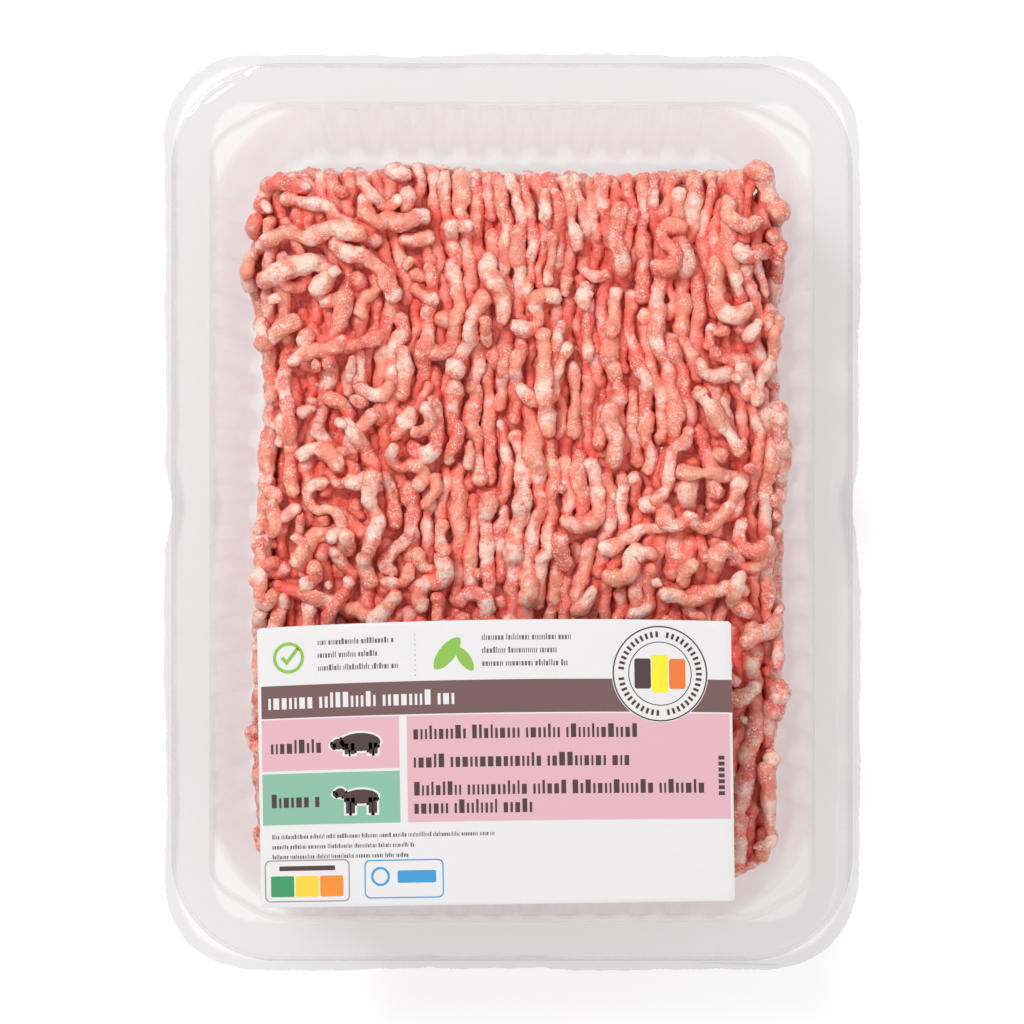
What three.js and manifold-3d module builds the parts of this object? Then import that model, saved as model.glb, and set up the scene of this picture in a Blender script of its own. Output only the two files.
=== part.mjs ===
// A sealed pack of minced meat: a clear tray with fluted walls, the mince laid in strands,
// a clear lid film welded to the tray's flange and a paper label stuck on the film.
// Millimetres, +Z up, +Y away from a reader of the label, origin under the middle of the tray.
import * as THREE from 'three';
import * as BufferGeometryUtils from 'three/addons/utils/BufferGeometryUtils.js';
import Module from 'manifold-3d';

const wasm = await Module();
wasm.setup();

// Driving sizes of the tray
const TRAY = {
  width: 144, length: 190, height: 45, cornerRadius: 22,
  wall: 0.6, floor: 0.6,
  skirtDrop: 2.6, skirtFlare: 0.5,
};
// The mouth is the inner edge of the flange
const MOUTH = { width: 127.4, length: 173, cornerRadius: 17 };
// Depths are below the flange, insets are inwards from the mouth
const WALL = { inset: 6.6, footInset: 9.4, footHeight: 3.4, headDepth: 1.2, fluteTop: 3.2 };
const FLUTE = { pitch: 8.1, depth: 1.25, flat: 0.22, rise: 0.13 };
// Each corner has a ledge for stacking, and a lug that bulges on the half next to the short side
const LEDGE = { depth: 5.2, drop: 0.9, width: 2.1, fullness: 0.8 };
const LUG = { reach: 1.7, middle: 0.68, half: 0.3 };
// The flange is rounded at the mouth and at its rim, more on its top than on its underside
const FLANGE = {
  mouthRound: 0.6, mouthRoundBelow: 1.1,
  rimRound: 0.8, rimRoundBelow: 1.2,
  rimDrop: 0.7, rimDropBelow: 1.1,
};
// The underside turns out into the flutes and the floor a little lower than the inside does
const BELOW = { head: 0.3, flute: 0.4, foot: 0.3, floorGrow: 0.2 };
const CORNER_STEPS = 8;
const SIDE_STEPS = 4;

// Driving sizes of the mince, which lies a little to the right of the middle
const MINCE = {
  centreX: 1.4, centreY: -1.2, halfWidth: 56.6, halfLength: 76.6, height: 33,
  sideInset: 2.4, sideTop: 6, sideLean: 2.2, footInset: 1.2,
  cornerRound: 9, wallGap: 0.7, lift: 0.05,
  shoulder: 9, shoulderDrop: 0.45, swell: 1.6,
};
// How much of the shoulder's drop comes from nearness to a long side and to an end
const DROP_SHARES = { side: 0.62, end: 0.5 };
const STRAND = {
  diameter: 4.3, sides: 5, sink: 1.9, ridge: 1.2,
  flatShare: 0.55, crestShare: 0.4, pitchShare: 0.965,
};
// How far a strand of the bundle wanders, and the shortest and longest of its waves
const WANDER = {
  side: { size: 0.8, short: 26, long: 50 },
  shift: { size: 0.7, short: 30, long: 60 },
  lift: { size: 0.75, short: 24, long: 48 },
};
// Cross-sections of the bundle from an end inwards: how far out they lie, and how tall and wide they are
const END_SECTIONS = [
  { reach: 1, tall: 0.72, wide: 0.55 },
  { reach: 0.987, tall: 0.93, wide: 0.82 },
  { reach: 0.955, tall: 1, wide: 1 },
];
const STATIONS = 11;
const END_CAP = { bulge: 0.4, height: 0.35, narrowing: 0.14 };
const LOOSE = {
  columns: 5, rows: 6, steps: 7, endDip: 1.2, arch: 0.7,
  scatter: 0.7, edgeX: 6, edgeY: 8, hold: 4, holdShare: 0.25, behind: 0.4,
  thickness: [0.92, 1.1], straightSpread: 0.7,
  lengths: { run: [30, 44], wave: [24, 34], hook: [22, 30], loop: [20, 27] },
};
const SIMPLIFY_WITHIN = 0.2;
const SEED = 41;

// Driving sizes of the film and the label
const FILM = {
  halfX: 74, halfY: 97.3, cornerRadius: 19, thickness: 0.2, wave: 0.9, gap: 0.05,
  sideSteps: 18, cornerSteps: 8,
  pinches: [{ side: -1, y: 1, depth: 1.9, width: 7 }, { side: 1, y: 1, depth: 1.1, width: 7 }],
};
const LABEL = {
  width: 100.4, height: 59.2, thickness: 0.2, centreX: -3.4, centreY: -53.2,
  turnDegrees: 0.85, bow: 1.1, bowSteps: 10, gap: 0.05,
};

const TAU = Math.PI * 2;
const smooth = (x) => x * x * (3 - 2 * x);
const clamp01 = (x) => Math.min(1, Math.max(0, x));
const mix = (a, b, t) => a + (b - a) * t;

// A repeatable draw between 0 and 1
function seededDraw(seed) {
  let state = seed >>> 0;
  return () => {
    state = (state + 0x6d2b79f5) >>> 0;
    let t = state;
    t = Math.imul(t ^ (t >>> 15), t | 1);
    t ^= t + Math.imul(t ^ (t >>> 7), t | 61);
    return ((t ^ (t >>> 14)) >>> 0) / 4294967296;
  };
}

// One turn round a rounded rectangle, anticlockwise from the right end of the front side.
// Each point has its outward normal, its turn, which lines the loops up with each other,
// its share of a flute, and in a corner its share of the way from the long to the short side.
function outline(halfX, halfY, radius, sideSteps, cornerSteps, fluted = false) {
  const points = [];
  const corners = [[1, -1], [1, 1], [-1, 1], [-1, -1]];
  corners.forEach(([sx, sy], index) => {
    const centreX = sx * (halfX - radius);
    const centreY = sy * (halfY - radius);
    const start = (index - 1) * Math.PI / 2;
    for (let step = 0; step <= cornerSteps; step += 1) {
      const share = step / cornerSteps;
      const angle = start + share * Math.PI / 2;
      const nx = Math.cos(angle);
      const ny = Math.sin(angle);
      points.push({
        x: centreX + radius * nx, y: centreY + radius * ny, nx, ny,
        turn: index * 2 + share, flute: 0, corner: index % 2 ? 1 - share : share,
      });
    }
    const alongY = index % 2 === 0;
    const length = 2 * ((alongY ? halfY : halfX) - radius);
    const angle = index * Math.PI / 2;
    const nx = Math.round(Math.cos(angle));
    const ny = Math.round(Math.sin(angle));
    sideShares(length, sideSteps, fluted).forEach(({ share, flute }) => {
      const along = (share - 0.5) * length;
      points.push({
        x: nx * halfX - ny * along, y: ny * halfY + nx * along, nx, ny,
        turn: index * 2 + 1 + share, flute, corner: null,
      });
    });
  });
  return points;
}

// Where the points of a straight side lie, and whether they are in a flute
function sideShares(length, steps, fluted) {
  if (!fluted) {
    return Array.from({ length: steps - 1 }, (_, i) => ({ share: (i + 1) / steps, flute: 0 }));
  }
  const count = Math.round(length / FLUTE.pitch);
  const { flat, rise } = FLUTE;
  const profile = [[flat, 0], [flat + rise, 1], [1 - flat - rise, 1], [1 - flat, 0]];
  const shares = [];
  for (let i = 0; i < count; i += 1) {
    profile.forEach(([at, flute]) => shares.push({ share: (i + at) / count, flute }));
  }
  return shares;
}

const ledgeShare = (corner) => Math.sin(Math.PI * corner) ** LEDGE.fullness;
const lugShare = (corner) => {
  const away = Math.abs(corner - LUG.middle) / LUG.half;
  return away < 1 ? smooth(1 - away) : 0;
};

// A loop of the cavity at a height: the mouth's outline moved inwards, with flutes, lugs and ledges
function cavityLoop(z, inset, { fluted = 0, lug = 0, ledge = 0, thick = 0 } = {}) {
  const { width, length, cornerRadius } = MOUTH;
  return outline(width / 2, length / 2, cornerRadius, SIDE_STEPS, CORNER_STEPS, fluted > 0).map((p) => {
    let out = thick - inset + p.flute * FLUTE.depth * fluted;
    if (p.corner !== null) {
      out += lug * LUG.reach * lugShare(p.corner) - ledge * LEDGE.width * ledgeShare(p.corner);
    }
    return { turn: p.turn, at: [p.x + p.nx * out, p.y + p.ny * out, z] };
  });
}

// A loop of the flange's outer edge at a height
function rimLoop(z, grow) {
  const { width, length, cornerRadius } = TRAY;
  return outline(width / 2, length / 2, cornerRadius, SIDE_STEPS, CORNER_STEPS).map((p) => ({
    turn: p.turn, at: [p.x + p.nx * grow, p.y + p.ny * grow, z],
  }));
}

// Collects triangles between loops that may have different numbers of points
class LoopSkin {
  constructor() {
    this.vertices = [];
    this.faces = [];
  }

  addLoop(loop) {
    const first = this.vertices.length / 3;
    loop.forEach((p) => this.vertices.push(...p.at));
    return { first, turns: loop.map((p) => p.turn) };
  }

  stitch(a, b) {
    let i = 0;
    let j = 0;
    const countA = a.turns.length;
    const countB = b.turns.length;
    while (i < countA || j < countB) {
      const nextA = i + 1 < countA ? a.turns[i + 1] : 8 + a.turns[0];
      const nextB = j + 1 < countB ? b.turns[j + 1] : 8 + b.turns[0];
      const pa = a.first + (i % countA);
      const pb = b.first + (j % countB);
      if (j >= countB || (i < countA && nextA <= nextB)) {
        this.faces.push(pa, a.first + ((i + 1) % countA), pb);
        i += 1;
      } else {
        this.faces.push(pa, b.first + ((j + 1) % countB), pb);
        j += 1;
      }
    }
  }

  fan(loop, centre, flip) {
    const middle = this.vertices.length / 3;
    this.vertices.push(...centre);
    const count = loop.turns.length;
    for (let i = 0; i < count; i += 1) {
      const p = loop.first + i;
      const q = loop.first + ((i + 1) % count);
      this.faces.push(middle, ...(flip ? [q, p] : [p, q]));
    }
  }

  geometry() {
    return indexedGeometry(this.vertices, this.faces);
  }
}

function indexedGeometry(vertices, faces) {
  const geometry = new THREE.BufferGeometry();
  geometry.setAttribute('position', new THREE.Float32BufferAttribute(vertices, 3));
  geometry.setIndex(faces);
  return geometry;
}

// How far in from the mouth the sloping wall is at a height
const slopeInset = (z) => WALL.inset * (TRAY.height - z) / (TRAY.height - WALL.footHeight);

// The tray's skin runs from the middle of its floor up the inside, over the flange and back below
function trayGeometry() {
  const top = TRAY.height;
  const t = TRAY.wall;
  const foot = WALL.footHeight;
  const head = top - WALL.headDepth;
  const ledgeFoot = top - LEDGE.depth - LEDGE.drop;
  const fluteTop = top - WALL.fluteTop;
  const skirtFoot = top - TRAY.skirtDrop;
  const inside = [
    cavityLoop(TRAY.floor, WALL.footInset, { ledge: 1 }),
    cavityLoop(foot, WALL.inset, { fluted: 1, ledge: 1 }),
    cavityLoop(ledgeFoot, slopeInset(ledgeFoot), { fluted: 1, ledge: 1 }),
    cavityLoop(fluteTop, slopeInset(fluteTop), { fluted: 1, lug: 1 }),
    cavityLoop(head, slopeInset(head), { lug: 1 }),
    cavityLoop(top, 0, { lug: 1, thick: FLANGE.mouthRound }),
    rimLoop(top, -FLANGE.rimRound),
    rimLoop(top - FLANGE.rimDrop, 0),
    rimLoop(skirtFoot, TRAY.skirtFlare),
  ];
  const below = [
    rimLoop(skirtFoot, TRAY.skirtFlare - t),
    rimLoop(top - FLANGE.rimDropBelow, -t),
    rimLoop(top - t, -FLANGE.rimRoundBelow),
    cavityLoop(top - t, 0, { lug: 1, thick: FLANGE.mouthRoundBelow }),
    cavityLoop(head - BELOW.head, slopeInset(head), { lug: 1, thick: t }),
    cavityLoop(fluteTop - BELOW.flute, slopeInset(fluteTop), { fluted: 1, lug: 1, thick: t }),
    cavityLoop(ledgeFoot - t, slopeInset(ledgeFoot), { fluted: 1, ledge: 1, thick: t }),
    cavityLoop(foot - BELOW.foot, WALL.inset, { fluted: 1, ledge: 1, thick: t }),
    cavityLoop(0, WALL.footInset, { ledge: 1, thick: BELOW.floorGrow }),
  ];
  const skin = new LoopSkin();
  const loops = [...inside, ...below].map((loop) => skin.addLoop(loop));
  for (let i = 1; i < loops.length; i += 1) {
    skin.stitch(loops[i], loops[i - 1]);
  }
  skin.fan(loops[0], [0, 0, TRAY.floor], false);
  skin.fan(loops[loops.length - 1], [0, 0, 0], true);
  return skin.geometry();
}

// How far the inside of the wall is from the middle at a height, without its flutes
function cavityReach(z) {
  const share = clamp01((z - TRAY.floor) / (WALL.footHeight - TRAY.floor));
  const inset = z < WALL.footHeight ? mix(WALL.footInset, WALL.inset, share) : slopeInset(z);
  return { x: MOUTH.width / 2 - inset, y: MOUTH.length / 2 - inset };
}

// Slow swells of the heap's edge and top, the same in every place that asks
const swell = (x, y) => 0.55 * Math.sin(x * 0.071 + 1.3) * Math.cos(y * 0.053 + 0.4)
  + 0.35 * Math.sin(x * 0.13 - y * 0.11 + 2.1) + 0.3 * Math.cos(y * 0.17 + x * 0.05);
const edgeSwell = (y, side) => 0.9 * Math.sin(y * 0.062 + side * 1.7)
  + 0.7 * Math.sin(y * 0.131 + side * 2.9 + 0.6);

// The heap's half width on one side at a distance along it, drawn in at its rounded corners
function mincedHalf(y, side) {
  const toEnd = MINCE.halfLength - Math.abs(y);
  const round = MINCE.cornerRound;
  const cut = toEnd < round ? round - Math.sqrt(Math.max(0, round ** 2 - (round - toEnd) ** 2)) : 0;
  return MINCE.halfWidth + edgeSwell(y, side) - cut;
}

// The height of the heap's top, which falls off at its shoulders and ends
function mincedTop(x, y) {
  const inX = mincedHalf(y, Math.sign(x) || 1) - Math.abs(x);
  const inY = MINCE.halfLength - Math.abs(y);
  const fall = (inside) => {
    const away = 1 - clamp01(inside / MINCE.shoulder);
    return 1 - Math.sqrt(Math.max(0, 1 - away * away));
  };
  const drop = Math.min(1, fall(inX) * DROP_SHARES.side + fall(inY) * DROP_SHARES.end);
  return MINCE.height * (1 - MINCE.shoulderDrop * drop) + MINCE.swell * swell(x, y);
}

// One cross-section of the bundled strands, from the left foot over the top to the right foot
function bundleSection(y, { sides, tops }) {
  const points = [];
  const foot = TRAY.floor + MINCE.lift;
  const radius = STRAND.diameter / 2;
  const halfAt = (side) => mincedHalf(y, side) - MINCE.sideInset;
  const sideX = (z, side, out) => {
    const lean = MINCE.sideLean * (1 - z / MINCE.height);
    return clampToCavity(MINCE.centreX + side * (halfAt(side) + lean + out), z);
  };
  const sideRun = (side) => {
    const top = mincedTop(side * halfAt(side), y) - radius;
    const strands = sides[side > 0 ? 1 : 0];
    return strands.flatMap((strand, i) => {
      const z = foot + (top - foot) * (i + 0.5) / strands.length;
      const groove = z - radius * STRAND.flatShare;
      return [[sideX(groove, side, strand(y) - STRAND.ridge), groove], [sideX(z, side, strand(y)), z]];
    });
  };
  points.push([sideX(foot, -1, -MINCE.footInset), foot], ...sideRun(-1));
  tops.forEach((strand, i) => {
    const across = ((i + 0.5) / tops.length - 0.5) * 2;
    const half = halfAt(Math.sign(across) || 1) - radius;
    const x = across * half + strand.shift(y);
    const z = mincedTop(x, y) - STRAND.ridge * STRAND.crestShare + strand.lift(y);
    const step = half / tops.length;
    points.push([MINCE.centreX + x - step, z - STRAND.ridge]);
    points.push([MINCE.centreX + x - step * STRAND.flatShare, z]);
    points.push([MINCE.centreX + x + step * STRAND.flatShare, z]);
  });
  points.push(...sideRun(1).reverse(), [sideX(foot, 1, -MINCE.footInset), foot]);
  return points;
}

function clampToCavity(x, z) {
  const reach = cavityReach(z).x - MINCE.wallGap;
  return Math.max(-reach, Math.min(reach, x));
}

// The strands of the bundle: each wanders sideways and up and down along its length
function bundleStrands(draw) {
  const wander = ({ size, short, long }) => {
    const phase = draw() * TAU;
    const phase2 = draw() * TAU;
    const wave = TAU / mix(short, long, draw());
    return (y) => size * (0.7 * Math.sin(y * wave + phase) + 0.5 * Math.sin(y * wave * 2.3 + phase2));
  };
  const pitch = STRAND.diameter * STRAND.pitchShare;
  const perSide = Math.round((MINCE.height - MINCE.sideTop) / pitch);
  const across = Math.round(2 * MINCE.halfWidth / pitch);
  return {
    sides: [0, 1].map(() => Array.from({ length: perSide }, () => wander(WANDER.side))),
    tops: Array.from({ length: across }, () => ({
      shift: wander(WANDER.shift), lift: wander(WANDER.lift),
    })),
  };
}

// Where the bundle's cross-sections lie along it, and how tall and wide each is
function bundleRows() {
  const inner = END_SECTIONS.length - 1;
  return Array.from({ length: STATIONS }, (_, i) => {
    const fromEnd = Math.min(i, STATIONS - 1 - i);
    const side = i < STATIONS / 2 ? -1 : 1;
    const share = (i - inner) / (STATIONS - 1 - 2 * inner);
    const section = fromEnd < inner
      ? END_SECTIONS[fromEnd]
      : { ...END_SECTIONS[inner], reach: Math.abs(share * 2 - 1) * END_SECTIONS[inner].reach };
    return { y: side * MINCE.halfLength * section.reach, tall: section.tall, wide: section.wide };
  });
}

// The bundle: cross-sections joined along the heap, drawn in and rounded over its two ends
function bundleSolid(draw) {
  const strands = bundleStrands(draw);
  const foot = TRAY.floor + MINCE.lift;
  const innerReach = END_SECTIONS[END_SECTIONS.length - 1].reach;
  const vertices = [];
  const faces = [];
  const rows = bundleRows();
  rows.forEach(({ y, tall, wide }) => {
    const narrow = mix(1, wide, END_CAP.narrowing);
    bundleSection(y * innerReach, strands).forEach(([x, z]) => {
      const across = MINCE.centreX + (x - MINCE.centreX) * narrow;
      vertices.push(across, MINCE.centreY + y, foot + (z - foot) * tall);
    });
  });
  const count = vertices.length / 3 / rows.length;
  for (let r = 0; r + 1 < rows.length; r += 1) {
    for (let k = 0; k < count; k += 1) {
      const a = r * count + k;
      const b = r * count + ((k + 1) % count);
      faces.push(a, b, b + count, a, b + count, a + count);
    }
  }
  [0, rows.length - 1].forEach((r) => {
    const middle = vertices.length / 3;
    const out = (r ? 1 : -1) * END_CAP.bulge;
    vertices.push(MINCE.centreX, MINCE.centreY + rows[r].y + out, MINCE.height * END_CAP.height);
    for (let k = 0; k < count; k += 1) {
      const a = r * count + k;
      const b = r * count + ((k + 1) % count);
      faces.push(middle, ...(r ? [a, b] : [b, a]));
    }
  });
  return solidOf(indexedGeometry(vertices, faces));
}

// Draws a place that is past a limit most of the way back to it
const heldWithin = (value, limit) => {
  const past = Math.abs(value) - limit;
  return past > 0 ? Math.sign(value) * (limit + past * LOOSE.holdShare) : value;
};

// The middle line of a loose strand on the heap: a run, a wave, a hook or an open loop
function looseLine({ x, y, heading, length, bend }) {
  const points = [];
  let px = x - Math.cos(heading) * length * LOOSE.behind;
  let py = y - Math.sin(heading) * length * LOOSE.behind;
  let angle = heading;
  for (let i = 0; i <= LOOSE.steps; i += 1) {
    const share = i / LOOSE.steps;
    const dip = i === 0 || i === LOOSE.steps ? LOOSE.endDip : 0;
    const arch = LOOSE.arch * Math.sin(Math.PI * share);
    const hx = heldWithin(px, MINCE.halfWidth - LOOSE.hold);
    const hy = heldWithin(py, MINCE.halfLength - LOOSE.hold);
    const z = mincedTop(hx, hy) + STRAND.diameter / 2 - STRAND.sink - dip + arch;
    points.push(new THREE.Vector3(MINCE.centreX + hx, MINCE.centreY + hy, z));
    angle += bend(share);
    px += Math.cos(angle) * length / LOOSE.steps;
    py += Math.sin(angle) * length / LOOSE.steps;
  }
  return new THREE.CatmullRomCurve3(points);
}

// A strand of round section swept along its middle line
function strandSolid(line, radius) {
  const section = new THREE.Shape();
  for (let i = 0; i < STRAND.sides; i += 1) {
    const angle = i * TAU / STRAND.sides;
    section[i ? 'lineTo' : 'moveTo'](radius * Math.cos(angle), radius * Math.sin(angle));
  }
  return solidOf(new THREE.ExtrudeGeometry(section, { steps: LOOSE.steps, extrudePath: line }));
}

// The mince is curled and crumbled along its left side and towards its front right corner
const isCrumbled = (x, y) => x < -34 || (x > 22 && y < 16 && y > -32) || (x > 30 && y > 52);

// Where the loose strands lie, and how each one runs
function looseStrands(draw) {
  const bends = {
    run: (share) => 0.13 * Math.sin(share * 7),
    wave: (share) => 0.5 * Math.cos(share * TAU * 1.1),
    hook: (share) => (share > 0.45 ? 0.56 : 0.05),
    loop: () => 0.4,
  };
  const { columns, rows, scatter } = LOOSE;
  const lines = [];
  for (let i = 0; i < columns * rows; i += 1) {
    const across = ((i % columns) + 0.5 + scatter * (draw() - 0.5)) / columns - 0.5;
    const along = (Math.floor(i / columns) + 0.5 + scatter * (draw() - 0.5)) / rows - 0.5;
    const x = across * 2 * (MINCE.halfWidth - LOOSE.edgeX);
    const y = along * 2 * (MINCE.halfLength - LOOSE.edgeY);
    const crumbled = isCrumbled(x, y);
    const kinds = crumbled ? ['hook', 'loop', 'wave'] : ['run', 'wave', 'run', 'hook'];
    const kind = kinds[Math.floor(draw() * kinds.length)];
    const spread = crumbled ? TAU : LOOSE.straightSpread;
    const side = draw() < 0.5 ? -1 : 1;
    lines.push(looseLine({
      x, y,
      heading: -Math.PI / 2 + (draw() - 0.5) * spread,
      length: mix(...LOOSE.lengths[kind], draw()),
      bend: (share) => side * bends[kind](share),
    }));
  }
  return lines;
}

// The room inside the tray, less a clearance to its walls and corner ledges
function roomSolid() {
  const ledgeFoot = TRAY.height - LEDGE.depth - LEDGE.drop;
  const heights = [TRAY.floor + MINCE.lift, WALL.footHeight, ledgeFoot, TRAY.height - WALL.headDepth];
  const skin = new LoopSkin();
  const loops = heights.map((z) => skin.addLoop(
    cavityLoop(z, MOUTH.width / 2 - cavityReach(z).x + MINCE.wallGap, { ledge: 1 }),
  ));
  for (let i = 1; i < loops.length; i += 1) {
    skin.stitch(loops[i - 1], loops[i]);
  }
  skin.fan(loops[0], [0, 0, heights[0]], true);
  skin.fan(loops[loops.length - 1], [0, 0, heights[heights.length - 1]], false);
  return solidOf(skin.geometry());
}

// The whole heap as one solid, cut back to clear the tray's walls
function minceGeometry() {
  const draw = seededDraw(SEED);
  let heap = bundleSolid(draw);
  looseStrands(draw).forEach((line) => {
    const radius = STRAND.diameter / 2 * mix(...LOOSE.thickness, draw());
    heap = heap.add(strandSolid(line, radius));
  });
  const pieces = heap.intersect(roomSolid()).simplify(SIMPLIFY_WITHIN).decompose();
  const main = pieces.reduce((best, piece) => (piece.volume() > best.volume() ? piece : best));
  return geometryOf(main);
}

function solidOf(geometry) {
  const bare = geometry.index ? geometry.clone() : BufferGeometryUtils.mergeVertices(geometry);
  bare.deleteAttribute('normal');
  bare.deleteAttribute('uv');
  const merged = BufferGeometryUtils.mergeVertices(bare, 1e-4);
  return new wasm.Manifold(new wasm.Mesh({
    numProp: 3,
    vertProperties: new Float32Array(merged.attributes.position.array),
    triVerts: new Uint32Array(merged.index.array),
  }));
}

function geometryOf(solid) {
  const mesh = solid.getMesh();
  return indexedGeometry(Array.from(mesh.vertProperties), Array.from(mesh.triVerts));
}

// The film's trimmed edge stands past the flange: it wanders, and is pinched in on both long sides
function filmGeometry() {
  const { halfX, halfY, cornerRadius, wave, pinches, sideSteps, cornerSteps } = FILM;
  const points = outline(halfX, halfY, cornerRadius, sideSteps, cornerSteps).map((p) => {
    const slow = Math.sin(p.turn * 4.7 + 0.8) + 0.6 * Math.sin(p.turn * 11.3);
    let trim = wave * clamp01(0.4 + 0.4 * slow);
    pinches.forEach(({ side, y, depth, width }) => {
      if (p.nx * side > 0.9) {
        trim += depth * Math.exp(-(((p.y - y) / width) ** 2));
      }
    });
    return new THREE.Vector2(p.x - p.nx * trim, p.y - p.ny * trim);
  });
  const box = new THREE.Box2().setFromPoints(points);
  points.forEach((p) => {
    p.x *= halfX / (p.x > 0 ? box.max.x : -box.min.x);
    p.y *= halfY / (p.y > 0 ? box.max.y : -box.min.y);
  });
  return new THREE.ExtrudeGeometry(new THREE.Shape(points), {
    depth: FILM.thickness, bevelEnabled: false,
  });
}

// The label is a rectangle whose top edge bows where the film carries it
function labelGeometry() {
  const turn = THREE.MathUtils.degToRad(LABEL.turnDegrees);
  const place = (u, v) => {
    const x = (u - 0.5) * LABEL.width;
    const y = (v - 0.5) * LABEL.height + v * LABEL.bow * (1 - (2 * u - 1) ** 2);
    return new THREE.Vector2(
      LABEL.centreX + x * Math.cos(turn) - y * Math.sin(turn),
      LABEL.centreY + x * Math.sin(turn) + y * Math.cos(turn),
    );
  };
  const points = [place(0, 0), place(1, 0)];
  for (let i = 0; i <= LABEL.bowSteps; i += 1) {
    points.push(place(1 - i / LABEL.bowSteps, 1));
  }
  return new THREE.ExtrudeGeometry(new THREE.Shape(points), {
    depth: LABEL.thickness, bevelEnabled: false,
  });
}

const clearPlastic = { color: 0xeef0f1, roughness: 0.12, metalness: 0, transparent: true };

function addPiece(group, name, geometry, material, z = 0) {
  const mesh = new THREE.Mesh(geometry, new THREE.MeshStandardMaterial(material));
  mesh.name = name;
  mesh.position.z = z;
  group.add(mesh);
}

const filmZ = TRAY.height + FILM.gap;
const pack = new THREE.Group();
addPiece(pack, 'tray', trayGeometry(), { ...clearPlastic, opacity: 0.35 });
addPiece(pack, 'mince', minceGeometry(), { color: 0xd98273, roughness: 0.4, metalness: 0 });
addPiece(pack, 'lid_film', filmGeometry(), { ...clearPlastic, opacity: 0.15 }, filmZ);
addPiece(pack, 'label', labelGeometry(), { color: 0xf6f5f3, roughness: 0.55, metalness: 0 },
  filmZ + FILM.thickness + LABEL.gap);

export default pack;
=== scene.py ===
"""Dresses a sealed pack of minced meat: a clear fluted tray, the mince in strands, a film lid and a label.

It is laid out as a Blender add-on, with one operator for each group of pieces, and runs as a script.
Lengths inside the functions are in millimetres, and a mesh gets metres when it is made.
"""

import math
from collections import namedtuple

import bpy
import numpy as np
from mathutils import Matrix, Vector


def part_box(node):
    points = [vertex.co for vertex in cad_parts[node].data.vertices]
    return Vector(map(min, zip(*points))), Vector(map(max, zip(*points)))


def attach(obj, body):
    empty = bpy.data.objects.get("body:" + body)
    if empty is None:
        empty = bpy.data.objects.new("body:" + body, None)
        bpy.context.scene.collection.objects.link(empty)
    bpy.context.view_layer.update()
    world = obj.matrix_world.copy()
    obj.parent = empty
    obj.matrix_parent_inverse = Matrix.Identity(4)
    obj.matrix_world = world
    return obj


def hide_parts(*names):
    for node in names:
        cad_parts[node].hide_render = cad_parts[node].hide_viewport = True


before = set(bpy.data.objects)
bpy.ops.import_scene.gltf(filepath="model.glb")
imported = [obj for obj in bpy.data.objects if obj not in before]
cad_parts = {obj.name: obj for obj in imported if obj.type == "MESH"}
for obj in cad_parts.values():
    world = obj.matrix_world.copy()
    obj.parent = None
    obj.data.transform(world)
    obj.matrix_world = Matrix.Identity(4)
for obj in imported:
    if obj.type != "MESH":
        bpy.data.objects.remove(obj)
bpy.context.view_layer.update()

bl_info = {
    "name": "Mince pack",
    "version": (1, 0, 0),
    "blender": (4, 5, 0),
    "location": "3D View > Sidebar > Mince pack",
    "description": "Builds a sealed tray of minced meat with its film lid and label",
    "category": "Add Mesh",
}

MM = 0.001
TAU = 2 * math.pi

# The frame's own sizes, in millimetres
TRAY_HIGH = np.array(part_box("tray")[1]) / MM
MINCE_HIGH = np.array(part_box("mince")[1]) / MM
FILM_LOW, FILM_HIGH = [np.array(corner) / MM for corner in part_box("lid_film")]
LABEL_LOW, LABEL_HIGH = [np.array(corner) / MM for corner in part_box("label")]
SKIRT_FLARE = 0.5
FLANGE_TOP = TRAY_HIGH[2]
RIM_HALF = TRAY_HIGH[:2] - SKIRT_FLARE
RIM_RADIUS = 22.0

# The tray's mouth is the inner edge of its flange
MOUTH_HALF = np.array((127.4, 173.0)) / 2
MOUTH_RADIUS = 17.0
FLANGE_WIDTH = 8.4
WALL_INSET = 6.6
FOOT_INSET = 9.4
FOOT_HEIGHT = 3.4
FLOOR_TOP = 0.6
BEND = 1.0
FLOOR_RINGS = (0.25, 0.5, 0.75)
LEDGE_TOP = FLANGE_TOP - 5.2
LEDGE_DROP = 0.9
LEDGE_WIDTH = 2.1
LUG_REACH = 1.7
LUG_MIDDLE = 0.68
LUG_HALF = 0.3

# The mince lies a little to the right of the middle
HEAP_CENTRE = np.array((1.4, -1.2))
HEAP_HALF_X = 56.8
HEAP_HALF_Y = 76.8
HEAP_ROUND = 9.0
TOP_LEVEL = 26.0

# The heap goes no higher than the CAD part's
HEAP_CAP = MINCE_HIGH[2]

# Spacing of the points along strands that show and along hidden ones
STEP = 0.6
HIDDEN_STEP = 1.4

# How far from a strand's middle it feels what it rests on, as a share of its radius
CONTACT = 0.55

# How deep curls sink in, and how many places are tried for each curl and for each strand that fills a low
CURL_SINK = 0.95
CURL_TRIES = 4
FILL_STRANDS = 50
FILL_TRIES = 8

# No piece of the heap gets more triangles than this
PIECE_TRIANGLES = 180000

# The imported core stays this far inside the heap's edge, under its strands and over the tray's floor
CORE_INSET = 3.6
CORE_DEPTH = 3.3
CORE_FLOOR = 1.6

# The core's side, as steps inward from its edge and their heights, the least height of its top, and its look
CORE_SIDE = ((2.4, CORE_FLOOR), (0.6, 2.4), (0, 4.5), (0.2, 10), (0.5, 16))
CORE_TOP_LOW = 17
CORE_TONE_AND_FAT = (0.6, 0.3)

# The film's highest crease, and the sealed band's width and how clouded it is
CREASE_CAP = 0.32
SEAL_WIDTH = 10.4
SEAL_SHARE = 0.4

# The label's paper and one layer of its print
PAPER_THICKNESS = 0.11
INK_THICKNESS = 0.012

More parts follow.
